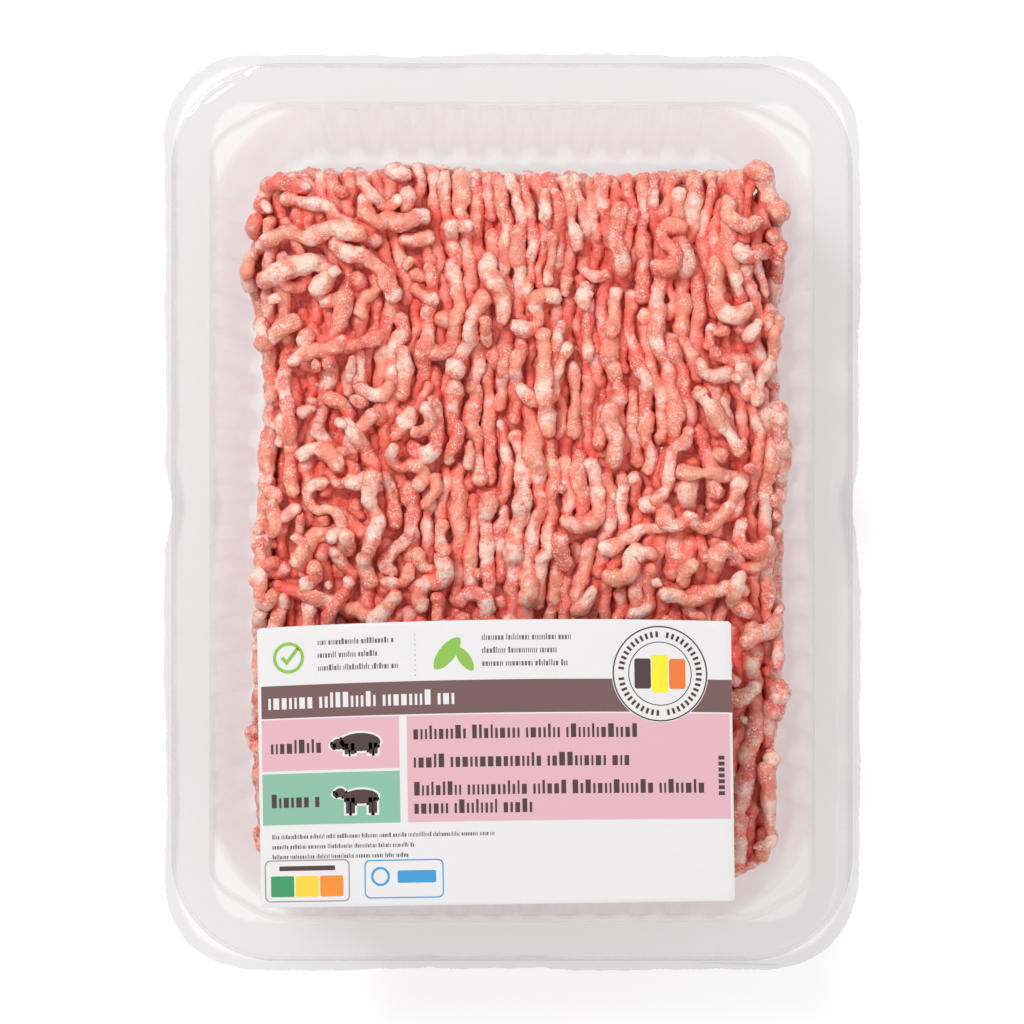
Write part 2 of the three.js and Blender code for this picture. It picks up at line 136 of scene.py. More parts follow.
# What plastic mirrors head on: too faint to see, except where creases catch the light
FAINT_MIRROR = 0.042

# Haze fainter than this is left out, and how rough and how hazy the tray is
FAINT_HAZE = 0.02
TRAY_ROUGHNESS = 0.08
TRAY_HAZE = 0.35

# The colour of painted glints, small white highlights painted on the mince, as red, green and blue of 0 to
# 255
GLINT = (255, 240, 232)

# Light on its way in and out passes this many skins of film, flange and wall
PLASTIC_SKINS = 20


def length(name, text, default):
    """A length that a user may change, in metres."""
    return bpy.props.FloatProperty(
        name=name, description=text, default=default * MM, unit="LENGTH", subtype="DISTANCE", precision=5
    )


def colour(name, text, default):
    """A colour that a user may change, as red, green and blue of 0 to 255."""
    return bpy.props.FloatVectorProperty(
        name=name, description=text, default=[linear(v) for v in default], size=3,
        subtype="COLOR", min=0, max=1
    )


def share(name, text, default):
    """A share from 0 to 1 that a user may change."""
    return bpy.props.FloatProperty(
        name=name, description=text, default=default, min=0, max=1, subtype="FACTOR"
    )


def count(name, text, default):
    """A whole number that a user may change."""
    return bpy.props.IntProperty(name=name, description=text, default=default, min=0)


def linear(value):
    """A display value of 0 to 255 as linear light."""
    value = value / 255
    return value / 12.92 if value <= 0.04045 else ((value + 0.055) / 1.055) ** 2.4


class MincePackTray(bpy.types.PropertyGroup):
    """Sizes and finish of the clear tray"""

    wall: length("Wall", "Thickness of the tray's wall", 0.6)
    flute_pitch: length("Flute pitch", "Distance from one flute to the next", 8.1)
    flute_depth: length("Flute depth", "How far a flute stands out of the wall", 1.25)
    tint: colour("Tint", "What the clear plastic lets through, face on", (246, 245, 245))
    edge_tint: colour("Edge tint", "What the clear plastic lets through, edge on", (247, 246, 247))
    gloss: share("Gloss", "How much of a mirror the plastic is, beside clear glass", 0.1)


class MincePackMince(bpy.types.PropertyGroup):
    """Sizes and colours of the minced meat"""

    strand: length("Strand", "Diameter of a strand of mince", 3.4)
    lump_depth: length("Lump depth", "How far a strand's skin goes in and out", 0.6)
    lump_size: length("Lump size", "Distance from one lump to the next along a strand", 2.8)
    curls: count("Curls", "Number of loose curled strands on top", 250)
    crumbs: count("Crumbs", "Number of small crumbs between the strands", 40)
    seed: count("Seed", "Starting number of the random draws", 7)
    lean: colour("Lean", "Lean meat, orange side", (238, 156, 132))
    rose: colour("Rose", "Lean meat, red side", (232, 112, 99))
    # Deep is painted shade: the colour laid into the crevices between strands, under them and in the grain's
    # hollows
    deep: colour("Deep", "Meat in the crevices between strands", (240, 94, 80))
    fat: colour("Fat", "Fat in the strands", (246, 210, 195))


class MincePackFilm(bpy.types.PropertyGroup):
    """Sizes and finish of the film lid"""

    thickness: length("Thickness", "Thickness of the film", 0.1)
    droop: length("Droop", "How far the film's free edge hangs down", 0.7)
    crease: length("Crease", "Height of the creases near the edge", 0.32)
    gloss: share("Gloss", "How much of a mirror the film is, beside clear glass", 0.4)
    sealed_tint: colour(
        "Sealed tint", "What the film lets through where it is sealed to the flange", (241, 240, 241)
    )


class MincePackLabel(bpy.types.PropertyGroup):
    """Sizes and colours of the printed label"""

    width: length("Width", "Length of the label's long side", 100.4)
    height: length("Height", "Length of the label's short side", 59.2)
    bow: length("Bow", "How far the top edge bows up in its middle", 1.1)
    turn: bpy.props.FloatProperty(
        name="Turn", description="Turn of the label on the film", default=math.radians(0.85), subtype="ANGLE"
    )
    paper: colour("Paper", "The label's bare paper", (225, 223, 223))
    brown: colour("Brown", "The brown band", (115, 86, 85))
    pink: colour("Pink", "The pink fields", (220, 174, 184))
    green: colour("Green", "The green field", (134, 184, 158))
    leaf: colour("Leaf green", "The green signs", (138, 186, 78))
    ink: colour("Ink", "The dark print", (76, 56, 58))
    grey: colour("Grey", "The small print", (105, 102, 100))
    seed: count("Seed", "Starting number of the random draws of bars in place of words", 57)


class MincePackStage(bpy.types.PropertyGroup):
    """Camera and light"""

    camera_height: length("Camera height", "Height of the camera above the flange", 680)
    frame_width: length("Frame width", "Width of the picture at the flange's height", 217)
    floor: colour("Floor", "The floor under the pack", (178, 178, 178))
    glow: share("Glow", "How much light the floor gives of its own, as a light table does", 0.62)


# Small helpers of shape


def smooth(value):
    """A smooth step from 0 to 1."""
    value = np.clip(value, 0, 1)
    return value * value * (3 - 2 * value)


def ramp(value, start, end):
    """A smooth step that rises from start to end."""
    return smooth((value - start) / (end - start))


def bump(value, middle, width):
    """A soft hump of height 1."""
    return np.exp(-(((value - middle) / width) ** 2))


def outline(half, radius, side_steps, corner_steps):
    """One turn round a rounded rectangle, anticlockwise from the right end of the front side.

    Gives the points, their outward normals, the distance along a straight side from its middle
    (in a corner, nothing), and in a corner the share of the way from the long to the short side.
    """
    half = np.asarray(half, float)
    places, normals, along, corner = [], [], [], []
    for index, (sx, sy) in enumerate([(1, -1), (1, 1), (-1, 1), (-1, -1)]):
        centre = np.array((sx, sy)) * (half - radius)
        for step in range(corner_steps + 1):
            part = step / corner_steps
            angle = (index - 1 + part) * math.pi / 2
            normal = np.array((math.cos(angle), math.sin(angle)))
            places.append(centre + radius * normal)
            normals.append(normal)
            along.append(np.nan)
            corner.append(1 - part if index % 2 else part)
        normal = np.round((math.cos(index * math.pi / 2), math.sin(index * math.pi / 2)))
        ahead = np.array((-normal[1], normal[0]))
        steps = side_steps[index % 2]
        reach = (half - radius)[1 - index % 2]
        for step in range(1, steps):
            s = (2 * step / steps - 1) * reach
            places.append(normal * half + ahead * s)
            normals.append(normal)
            along.append(s)
            corner.append(np.nan)
    return np.array(places), np.array(normals), np.array(along), np.array(corner)


def loft_faces(rows, around):
    """Quads between rows of points that each go once round."""
    here = np.arange(rows * around).reshape(rows, around)
    there = np.roll(here, -1, axis=1)
    quads = np.stack((here[:-1], there[:-1], there[1:], here[1:]), axis=-1)
    return quads.reshape(-1, 4).tolist()


def lofted(name, rows, first_centre, last_centre, attributes=()):
    """A closed object from rows of points (rows, around, 3), with a fan over its first and last row."""
    rows = np.asarray(rows, float)
    count_rows, around, _ = rows.shape
    points = rows.reshape(-1, 3)
    faces = loft_faces(count_rows, around)
    first, last = len(points), len(points) + 1
    points = np.vstack((points, first_centre, last_centre))
    tail = (count_rows - 1) * around
    for i in range(around):
        j = (i + 1) % around
        faces.append((first, j, i))
        faces.append((last, tail + i, tail + j))
    obj = new_object(name, points, faces)
    for key, values in attributes:
        values = np.concatenate((np.asarray(values, float).reshape(-1), (0, 0)))
        obj.data.attributes.new(key, "FLOAT", "POINT").data.foreach_set("value", values)
    return obj


def new_object(name, points, faces, edges=()):
    """A smooth-shaded object from points in millimetres."""
    mesh = bpy.data.meshes.new(name)
    mesh.from_pydata((np.asarray(points, float) * MM).tolist(), list(edges), faces)
    mesh.validate()
    obj = bpy.data.objects.new(name, mesh)
    bpy.context.collection.objects.link(obj)
    if faces:
        mesh.polygons.foreach_set("use_smooth", [True] * len(mesh.polygons))
    return obj


def finished(obj, material, node):
    """Gives an object its material and its place in the pack."""
    if material is not None:
        obj.data.materials.clear()
        obj.data.materials.append(material)
    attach(obj, "root")
    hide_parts(node)


# Helpers for node trees


def node_tree(name, inputs):
    """A geometry node tree with named inputs, given as (name, socket type, default)."""
    tree = bpy.data.node_groups.new(name, "GeometryNodeTree")
    tree.interface.new_socket("Geometry", in_out="INPUT", socket_type="NodeSocketGeometry")
    for label, kind, default in inputs:
        socket = tree.interface.new_socket(label, in_out="INPUT", socket_type=kind)
        if default is not None:
            socket.default_value = default
    tree.interface.new_socket("Geometry", in_out="OUTPUT", socket_type="NodeSocketGeometry")
    start = tree.nodes.new("NodeGroupInput")
    end = tree.nodes.new("NodeGroupOutput")
    return tree, start, end


class Wires:
    """Adds nodes to a tree and links what is passed to their sockets."""

    def __init__(self, tree):
        self.tree = tree

    def node(self, kind, inputs=(), **settings):
        made = self.tree.nodes.new(kind)
        for key, value in settings.items():
            setattr(made, key, value)
        for key, value in dict(inputs).items():
            if isinstance(value, bpy.types.NodeSocket):
                self.tree.links.new(value, made.inputs[key])
            else:
                made.inputs[key].default_value = value
        return made

    def scaled(self, vector, by):
        return self.node("ShaderNodeVectorMath", {0: vector, "Scale": by}, operation="SCALE").outputs[0]

    def painted(self, start, end, geometry):
        """Ends a tree: the geometry gets the material that the tree was given."""
        inputs = {"Geometry": geometry, "Material": start.outputs["Material"]}
        self.tree.links.new(self.node("GeometryNodeSetMaterial", inputs).outputs[0], end.inputs[0])

    def math(self, operation, a, b=0.0, c=0.0):
        return self.node("ShaderNodeMath", {0: a, 1: b, 2: c}, operation=operation).outputs[0]

    def named(self, name, kind="FLOAT"):
        return self.node("GeometryNodeInputNamedAttribute", {"Name": name}, data_type=kind).outputs[0]


def grow(obj, tree, values):
    """Runs a node tree on an object and leaves its result as a plain mesh."""
    modifier = obj.modifiers.new(tree.name, "NODES")
    modifier.node_group = tree
    for item in tree.interface.items_tree:
        if item.in_out == "INPUT" and item.name in values:
            modifier[item.identifier] = values[item.name]
    depsgraph = bpy.context.evaluated_depsgraph_get()
    result = bpy.data.meshes.new_from_object(
        obj.evaluated_get(depsgraph), preserve_all_data_layers=True, depsgraph=depsgraph
    )
    obj.modifiers.remove(modifier)
    before = obj.data
    obj.data = result
    bpy.data.meshes.remove(before)
    result.name = obj.name
    return obj


def flute_tree():
    """Pushes the tray's straight walls out into flutes."""
    tree, start, end = node_tree("Flutes", [
        ("Flute pitch", "NodeSocketFloat", 0.0081),
        ("Flute depth", "NodeSocketFloat", 0.00125),
        ("Material", "NodeSocketMaterial", None),
    ])
    w = Wires(tree)
    turns = w.math("DIVIDE", w.named("along"), start.outputs["Flute pitch"])
    wave = w.math("COSINE", w.math("MULTIPLY", turns, TAU))
    lobe = w.node("ShaderNodeMapRange", {"Value": wave, "From Min": -0.42, "From Max": 0.62},
                  interpolation_type="SMOOTHERSTEP").outputs[0]
    depth = w.math("MULTIPLY", start.outputs["Flute depth"], w.named("flute"))
    offset = w.scaled(w.named("outward", "FLOAT_VECTOR"), w.math("MULTIPLY", lobe, depth))
    moved = w.node("GeometryNodeSetPosition", {"Geometry": start.outputs["Geometry"], "Offset": offset})
    real = w.node("GeometryNodeRealizeInstances", {"Geometry": moved.outputs[0]})
    w.painted(start, end, real.outputs[0])
    return tree


LUMP_INPUTS = [
    ("Lump depth", "NodeSocketFloat", 0.0005),
    ("Lump size", "NodeSocketFloat", 0.0023),
    ("Seed", "NodeSocketInt", 1),
    ("Material", "NodeSocketMaterial", None),
]


def lumpy(w, start, geometry):
    """Moves a skin in and out in soft lumps, as a tree's inputs say, and shades it smooth."""
    where = w.node("GeometryNodeInputPosition").outputs[0]
    facing = w.node("GeometryNodeInputNormal").outputs[0]
    often = w.math("DIVIDE", 1.0, start.outputs["Lump size"])
    place = w.scaled(where, often)
    lumps = w.node("ShaderNodeTexNoise", {
        "Vector": place, "W": start.outputs["Seed"], "Scale": 1.0, "Detail": 3.0, "Roughness": 0.62,
    }, noise_dimensions="4D").outputs[0]
    height = w.math("MULTIPLY", w.math("SUBTRACT", lumps, 0.5), start.outputs["Lump depth"])
    height = w.math("MULTIPLY", height, 4.0)
    offset = w.scaled(facing, height)
    moved = w.node("GeometryNodeSetPosition", {"Geometry": geometry, "Offset": offset})
    shaded = w.node("GeometryNodeSetShadeSmooth", {"Geometry": moved.outputs[0], "Shade Smooth": True})
    return shaded.outputs[0]


def strand_tree():
    """Makes lumpy round strands along lines of edges, as thick as each point's radius says."""
    tree, start, end = node_tree("Strands", [("Sides", "NodeSocketInt", 10), *LUMP_INPUTS])
    w = Wires(tree)
    lines = w.node("GeometryNodeMeshToCurve", {0: start.outputs["Geometry"]})
    ring = w.node("GeometryNodeCurvePrimitiveCircle",
                  {"Resolution": start.outputs["Sides"], "Radius": 1.0}, mode="RADIUS")
    tubes = w.node("GeometryNodeCurveToMesh",
                   {"Curve": lines.outputs[0], "Profile Curve": ring.outputs[0],
                    "Scale": w.named("thickness"), "Fill Caps": True})
    real = w.node("GeometryNodeRealizeInstances", {"Geometry": tubes.outputs[0]})
    moved = lumpy(w, start, real.outputs[0])
    w.painted(start, end, moved)
    return tree


def core_tree():
    """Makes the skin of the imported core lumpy."""
    tree, start, end = node_tree("Core", LUMP_INPUTS)
    w = Wires(tree)
    real = w.node("GeometryNodeRealizeInstances", {"Geometry": start.outputs["Geometry"]})
    moved = lumpy(w, start, real.outputs[0])
    w.painted(start, end, moved)
    return tree


def block_tree():
    """Puts a small flat block on each point, of the size that the point names."""
    tree, start, end = node_tree("Blocks", [
        ("Turn", "NodeSocketFloat", 0.0),
        ("Material", "NodeSocketMaterial", None),
    ])
    w = Wires(tree)
    block = w.node("GeometryNodeMeshCube", {"Size": (1.0, 1.0, 1.0)})
    turned = w.node("ShaderNodeCombineXYZ", {"Z": start.outputs["Turn"]}).outputs[0]
    placed = w.node("GeometryNodeInstanceOnPoints", {
        "Points": start.outputs["Geometry"], "Instance": block.outputs[0],
        "Rotation": turned, "Scale": w.named("block", "FLOAT_VECTOR"),
    })
    real = w.node("GeometryNodeRealizeInstances", {"Geometry": placed.outputs[0]})
    w.painted(start, end, real.outputs[0])
    return tree


def crumb_tree():
    """Puts a lumpy crumb on each point, stretched and turned as the point says."""
    tree, start, end = node_tree("Crumbs", LUMP_INPUTS)
    w = Wires(tree)
    ball = w.node("GeometryNodeMeshIcoSphere", {"Radius": 1.0, "Subdivisions": 3})
    placed = w.node("GeometryNodeInstanceOnPoints", {
        "Points": start.outputs["Geometry"], "Instance": ball.outputs[0],
        "Rotation": w.named("turn", "FLOAT_VECTOR"), "Scale": w.named("stretch", "FLOAT_VECTOR"),
    })
    real = w.node("GeometryNodeRealizeInstances", {"Geometry": placed.outputs[0]})
    moved = lumpy(w, start, real.outputs[0])
    w.painted(start, end, moved)
    return tree


# Materials


def new_material(name):
    """An empty material and a helper to wire its nodes."""
    material = bpy.data.materials.new(name)
    material.use_nodes = True
    material.node_tree.nodes.clear()
    wires = Wires(material.node_tree)
    output = wires.node("ShaderNodeOutputMaterial")
    return material, wires, output


def opaque(value):
    """A colour with full alpha, as a socket takes it."""
    return (*value, 1.0)


def clear_plastic(name, tint, edge_tint, gloss, roughness, haze, sealed_tint=None):
    """Thin clear plastic: it lets light through, less at a slant, and mirrors a little of it.

    Where the attribute "sealed" is 1, the plastic is clouded by the seal and has the sealed tint.
    """
    material, w, output = new_material(name)
    slant = w.node("ShaderNodeLayerWeight", {"Blend": 0.35}).outputs["Facing"]
    through_tint = w.node("ShaderNodeMix", {"Factor": slant, 6: opaque(tint), 7: opaque(edge_tint)},
                          data_type="RGBA").outputs[2]
    if sealed_tint is not None:
        sealed = w.node("ShaderNodeAttribute", attribute_name="sealed").outputs["Fac"]
        through_tint = w.node("ShaderNodeMix", {"Factor": sealed, 6: through_tint, 7: opaque(sealed_tint)},
                              data_type="RGBA").outputs[2]
    clear = w.node("ShaderNodeBsdfTransparent", {"Color": through_tint})
    milk = w.node("ShaderNodeBsdfDiffuse", {"Color": (0.93, 0.93, 0.93, 1)})
    hazy = w.math("SUBTRACT", w.math("POWER", slant, 2.0), FAINT_HAZE)
    hazy = w.math("MULTIPLY", w.math("MAXIMUM", hazy, 0.0), haze)
    through = w.node("ShaderNodeMixShader", {"Fac": hazy, 1: clear.outputs[0], 2: milk.outputs[0]})
    mirror = w.node("ShaderNodeBsdfGlossy", {"Color": (1, 1, 1, 1), "Roughness": roughness})
    head_on = w.math("SUBTRACT", w.node("ShaderNodeFresnel", {"IOR": 1.5}).outputs[0], FAINT_MIRROR)
    part = w.math("MAXIMUM", head_on, 0.0)
    if sealed_tint is not None:
        creased = w.math("MINIMUM", w.math("MULTIPLY", sealed, 4.0), 1.0)
        part = w.math("MULTIPLY_ADD", creased, FAINT_MIRROR, part)
    part = w.math("MULTIPLY", part, gloss)
    mixed = w.node("ShaderNodeMixShader", {"Fac": part, 1: through.outputs[0], 2: mirror.outputs[0]})
    w.tree.links.new(mixed.outputs[0], output.inputs["Surface"])
    return material


def mince_material(sizes):
    """Moist raw mince: lean and fat by each strand's own values, marbled and grainy, with painted glints on
    the grain's tops and painted shade in its hollows, in the crevices and under the strands.
    """
    material, w, output = new_material("moist_mince")
    place = w.node("ShaderNodeTexCoord").outputs["Object"]
    fat = w.node("ShaderNodeAttribute", attribute_name="fat").outputs["Fac"]
    tone = w.node("ShaderNodeAttribute", attribute_name="tone").outputs["Fac"]
    sunk = w.node("ShaderNodeAttribute", attribute_name="sunk").outputs["Fac"]

    def noise(size, detail, roughness=0.5):
        """A noise whose blotches are about as wide as the size in millimetres."""
        return w.node("ShaderNodeTexNoise", {
            "Vector": place, "Scale": 1 / (size * MM), "Detail": detail, "Roughness": roughness,
        }).outputs["Fac"]

    def spread(value, low, high, to_low=0.0, to_high=1.0):
        """A value's range from low to high stretched over another."""
        return w.node("ShaderNodeMapRange", {
            "Value": value, "From Min": low, "From Max": high, "To Min": to_low, "To Max": to_high,
        }).outputs[0]

    def blend(factor, first, second):
        """A mix of two colours."""
        return w.node("ShaderNodeMix", {"Factor": factor, 6: first, 7: second}, data_type="RGBA").outputs[2]

    blotches = noise(4.2, 2)
    marbling = noise(2.2, 3, 0.6)
    lobes = noise(1.2, 1)
    grains = noise(0.45, 2, 0.6)
    redness = w.math("ADD", tone, spread(blotches, 0.3, 0.7, -0.45, 0.45))
    redness = w.math("ADD", redness, spread(marbling, 0.3, 0.7, -0.3, 0.3))
    lean = blend(redness, opaque(sizes.lean), opaque(sizes.rose))
    fat_here = w.math("ADD", fat, spread(marbling, 0.3, 0.7, 0.55, -0.55))
    fat_here = w.math("ADD", fat_here, spread(grains, 0.3, 0.7, -0.12, 0.12))
    flesh = blend(spread(fat_here, 0.2, 0.95), lean, opaque(sizes.fat))
    # Painted shade in the grain's hollows: where the grain bump is low, the colour turns toward the deep
    # colour
    shaded_pits = blend(spread(grains, 0.46, 0.3, 0.0, 0.35), flesh, opaque(sizes.deep))
    # Painted glints: small highlights painted on the grain's tops in patches, left out where shade is painted
    painted_glints = w.math("MULTIPLY", spread(grains, 0.58, 0.64), spread(blotches, 0.42, 0.55, 0.0, 0.85))
    # Painted shade: the deep colour laid into the crevices between strands and on their undersides
    skin_colour = blend(w.math("MULTIPLY", sunk, 0.8), shaded_pits, opaque(sizes.deep))
    glinting = w.math("MULTIPLY", painted_glints, w.math("SUBTRACT", 1.0, sunk))
    skin_colour = blend(glinting, skin_colour, opaque([linear(v) for v in GLINT]))
    lumps = w.node("ShaderNodeBump", {"Height": lobes, "Strength": 0.8, "Distance": 0.0006})
    relief = w.node("ShaderNodeBump", {
        "Height": grains, "Strength": 0.8, "Distance": 0.0003, "Normal": lumps.outputs[0],
    })
    skin = w.node("ShaderNodeBsdfPrincipled", {
        "Base Color": skin_colour, "Roughness": spread(marbling, 0.3, 0.7, 0.28, 0.45),
        "Normal": relief.outputs[0],
        "Subsurface Weight": 0.75, "Subsurface Radius": (1.0, 0.4, 0.3), "Subsurface Scale": 0.0015,
        "Coat Weight": 0.5, "Coat Roughness": 0.05, "Coat IOR": 1.36, "Coat Normal": lumps.outputs[0],
        "Specular IOR Level": 0.3,
    }, subsurface_method="BURLEY")
    w.tree.links.new(skin.outputs[0], output.inputs["Surface"])
    return material


def paper_material(name, value, roughness=0.5):
    """Smooth printed paper with a faint mottle."""
    material, w, output = new_material(name)
    place = w.node("ShaderNodeTexCoord").outputs["Object"]
    mottle = w.node("ShaderNodeTexNoise", {"Vector": place, "Scale": 900.0, "Detail": 3.0}).outputs["Fac"]
    darker = [v * 0.955 for v in value]
    shade = w.node("ShaderNodeMix", {"Factor": mottle, 6: opaque(value), 7: opaque(darker)},
                   data_type="RGBA").outputs[2]
    relief = w.node("ShaderNodeBump", {"Height": mottle, "Strength": 0.12, "Distance": 0.00005})
    skin = w.node("ShaderNodeBsdfPrincipled", {
        "Base Color": shade, "Roughness": roughness, "Normal": relief.outputs[0], "Specular IOR Level": 0.35,
    })
    w.tree.links.new(skin.outputs[0], output.inputs["Surface"])
    return material


# The tray


def tray_profile():
    """The inside of the tray from its floor over the flange to the skirt's foot, as (outward, height)."""
    points = []
    wide = FOOT_INSET - WALL_INSET + 1.0
    tall = FOOT_HEIGHT + FLOOR_TOP
    for angle in np.linspace(0, math.pi / 2, 7):
        points.append((-WALL_INSET - wide * (1 - math.sin(angle)), FLOOR_TOP + tall * (1 - math.cos(angle))))
    foot = points[-1][1]
    heights = list(np.linspace(foot, LEDGE_TOP - LEDGE_DROP, 13))[1:]
    heights += list(np.linspace(LEDGE_TOP - LEDGE_DROP, LEDGE_TOP, 4))[1:]
    heights += list(np.linspace(LEDGE_TOP, FLANGE_TOP - BEND, 7))[1:]
    for z in heights:
        points.append((-WALL_INSET * (FLANGE_TOP - z) / (FLANGE_TOP - foot), z))
    start = points[-1][0]
    for angle in np.linspace(0, math.pi / 2, 6)[1:]:
        points.append((start + 0.9 * (1 - math.cos(angle)), FLANGE_TOP - BEND + BEND * math.sin(angle)))
    for out in np.linspace(1.6, FLANGE_WIDTH - BEND, 22):
        bead = 0.16 * bump(out, FLANGE_WIDTH - 3.4, 0.45) + 0.1 * bump(out, 2.3, 0.4)
        points.append((out, FLANGE_TOP - 0.14 + bead))
    for angle in np.linspace(0, math.pi / 2, 6)[1:]:
        rim = FLANGE_WIDTH - BEND + BEND * math.sin(angle)
        points.append((rim, FLANGE_TOP - 1.1 + 0.96 * math.cos(angle)))
    points.append((FLANGE_WIDTH + 0.2, FLANGE_TOP - 1.8))
    points.append((FLANGE_WIDTH + SKIRT_FLARE - 0.05, FLANGE_TOP - 2.5))
    return np.array(points)


def shifted_profile(points, wall):
    """The same profile moved out through the wall's thickness."""
    ahead = np.gradient(points, axis=0)
    ahead /= np.linalg.norm(ahead, axis=1, keepdims=True)
    away = np.stack((ahead[:, 1], -ahead[:, 0]), axis=1)
    moved = points + away * wall
    moved[:, 1] = np.maximum(moved[:, 1], 0)
    return moved


class TrayShape:
    """Turns a place on the tray's profile into a loop of points."""

    def __init__(self):
        steps = (160, 108)
        self.mouth, self.mouth_normal, self.along, self.corner = outline(MOUTH_HALF, MOUTH_RADIUS, steps, 16)
        self.rim, self.rim_normal, _, _ = outline(RIM_HALF, RIM_RADIUS, steps, 16)
        inside = np.nan_to_num(self.corner, nan=0.0)
        self.ledge = np.where(np.isnan(self.corner), 0, np.sin(math.pi * inside) ** 0.7)
        away = np.abs(inside - LUG_MIDDLE) / LUG_HALF
        self.lug = np.where(np.isnan(self.corner), 0, smooth(1 - away))
        self.straight = ~np.isnan(self.along)

    def loop(self, out, height):
        """The loop at a distance outward of the mouth and a height, and how far it is fluted."""
        ledge = LEDGE_WIDTH * self.ledge * (1 - ramp(height, LEDGE_TOP - LEDGE_DROP, LEDGE_TOP))
        lug = LUG_REACH * self.lug * ramp(height, LEDGE_TOP - 0.5, LEDGE_TOP + 1.2)
        if out <= 0:
            xy = self.mouth + self.mouth_normal * (out - ledge + lug)[:, None]
        elif out <= FLANGE_WIDTH:
            part = out / FLANGE_WIDTH
            xy = self.mouth * (1 - part) + self.rim * part
            xy = xy + self.mouth_normal * (lug * (1 - part) ** 4)[:, None]
        else:
            xy = self.rim + self.rim_normal * (out - FLANGE_WIDTH)
        fluted = ramp(height, 1.2, 5.0) * (1 - ramp(height, FLANGE_TOP - 9.0, FLANGE_TOP - 2.0))
        mask = np.where(self.straight, fluted if out <= 0.7 else 0.0, 0.0)
        return np.column_stack((xy, np.full(len(xy), height))), mask


def build_tray(sizes):
    """The clear tray, inside and outside, with flutes, ledges, lugs, bead and skirt."""
    shape = TrayShape()
    inner = tray_profile()
    outer = shifted_profile(inner, sizes.wall / MM)
    underside = [(outer[0], shrink) for shrink in FLOOR_RINGS]
    walls = [(place, 1) for place in (*outer, *inner[::-1])]
    floor = [(inner[0], shrink) for shrink in FLOOR_RINGS[::-1]]
    rows, masks = [], []
    for (out, height), shrink in (*underside, *walls, *floor):
        loop, mask = shape.loop(out, height)
        rows.append(loop * (shrink, shrink, 1))
        masks.append(mask)
    pitch = sizes.flute_pitch / MM
    on_long = np.abs(shape.mouth_normal[:, 0]) > 0.5
    long_side, short_side = 2 * (MOUTH_HALF[::-1] - MOUTH_RADIUS)
    flutes = np.where(on_long, round(long_side / pitch), round(short_side / pitch))
    own_pitch = np.where(on_long, long_side, short_side) / flutes
    along = np.nan_to_num(shape.along) * pitch / own_pitch + np.where(flutes % 2 == 0, pitch / 2, 0)
    obj = lofted("tray_shell", rows, (0, 0, 0), (0, 0, inner[0][1]), [
        ("flute", masks), ("along", np.tile(along * MM, (len(rows), 1))),
    ])
    outward = np.zeros((len(obj.data.vertices), 3))
    outward[:-2, :2] = np.tile(shape.mouth_normal, (len(rows), 1))
    set_vectors(obj, outward=outward)
    material = clear_plastic(
        "clear_tray", sizes.tint, sizes.edge_tint, sizes.gloss, TRAY_ROUGHNESS, TRAY_HAZE
    )
    grow(obj, flute_tree(), {
        "Flute pitch": sizes.flute_pitch, "Flute depth": sizes.flute_depth, "Material": material,
    })
    finished(obj, None, "tray")


# The mince


def heap_edge(y, side):
    """The heap's half width at a distance along it, with its lumps."""
    if side < 0:
        return HEAP_HALF_X - 0.6 + 3.4 * bump(y, 54.5, 8) + 1.6 * bump(y, -48, 24) - 1.4 * bump(y, 24, 12)
    return HEAP_HALF_X + 0.6 + 1.5 * bump(y, 6, 12) - 1.3 * bump(y, 32, 9) - 2.4 * bump(y, -60, 20)


def heap_end(x, side):
    """The heap's half length at a distance across it."""
    if side > 0:
        return HEAP_HALF_Y - 0.4 + 1.6 * bump(x, -23, 7) - 0.8 * bump(x, 18, 14)
    return HEAP_HALF_Y + 0.4 - 1.8 * bump(x, 30, 9) + 0.6 * bump(x, 48, 8)


def round_in(inside, radius):
    """How far an edge is drawn in near a rounded corner."""
    inside = np.clip(inside, 0, radius)
    return radius - np.sqrt(np.maximum(0, radius**2 - (radius - inside) ** 2))


def heap_inside(x, y):
    """Distances from a place to the heap's side and end, with rounded corners; less than 0 is outside."""
    side = np.where(x < 0, heap_edge(y, -1), heap_edge(y, 1))
    end = np.where(y > 0, heap_end(x, 1), heap_end(x, -1))
    to_side = side - np.abs(x)
    to_end = end - np.abs(y)
    to_side_drawn = to_side - round_in(to_end, HEAP_ROUND)
    to_end_drawn = to_end - round_in(to_side, HEAP_ROUND)
    return to_side_drawn, to_end_drawn


def heap_swell(x, y):
    """Slow swells of the heap's top."""
    return (
        0.9 * np.sin(x * 0.071 + 1.3) * np.cos(y * 0.053 + 0.4)
        + 0.6 * np.sin(x * 0.13 - y * 0.11 + 2.1)
        + 0.5 * np.cos(y * 0.17 + x * 0.05)
    )


def core_top(x, y):
    """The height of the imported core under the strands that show."""
    to_side, to_end = heap_inside(x, y)
    near = np.minimum(to_side, to_end)
    shoulder = np.clip(near / 8.5, 0, 1)
    rounded = np.sqrt(np.maximum(0, 1 - (1 - shoulder) ** 2))
    level = TOP_LEVEL + heap_swell(x, y)
    height = level * (0.5 + 0.5 * rounded)
    return np.where(near > 0, height, 0.7)


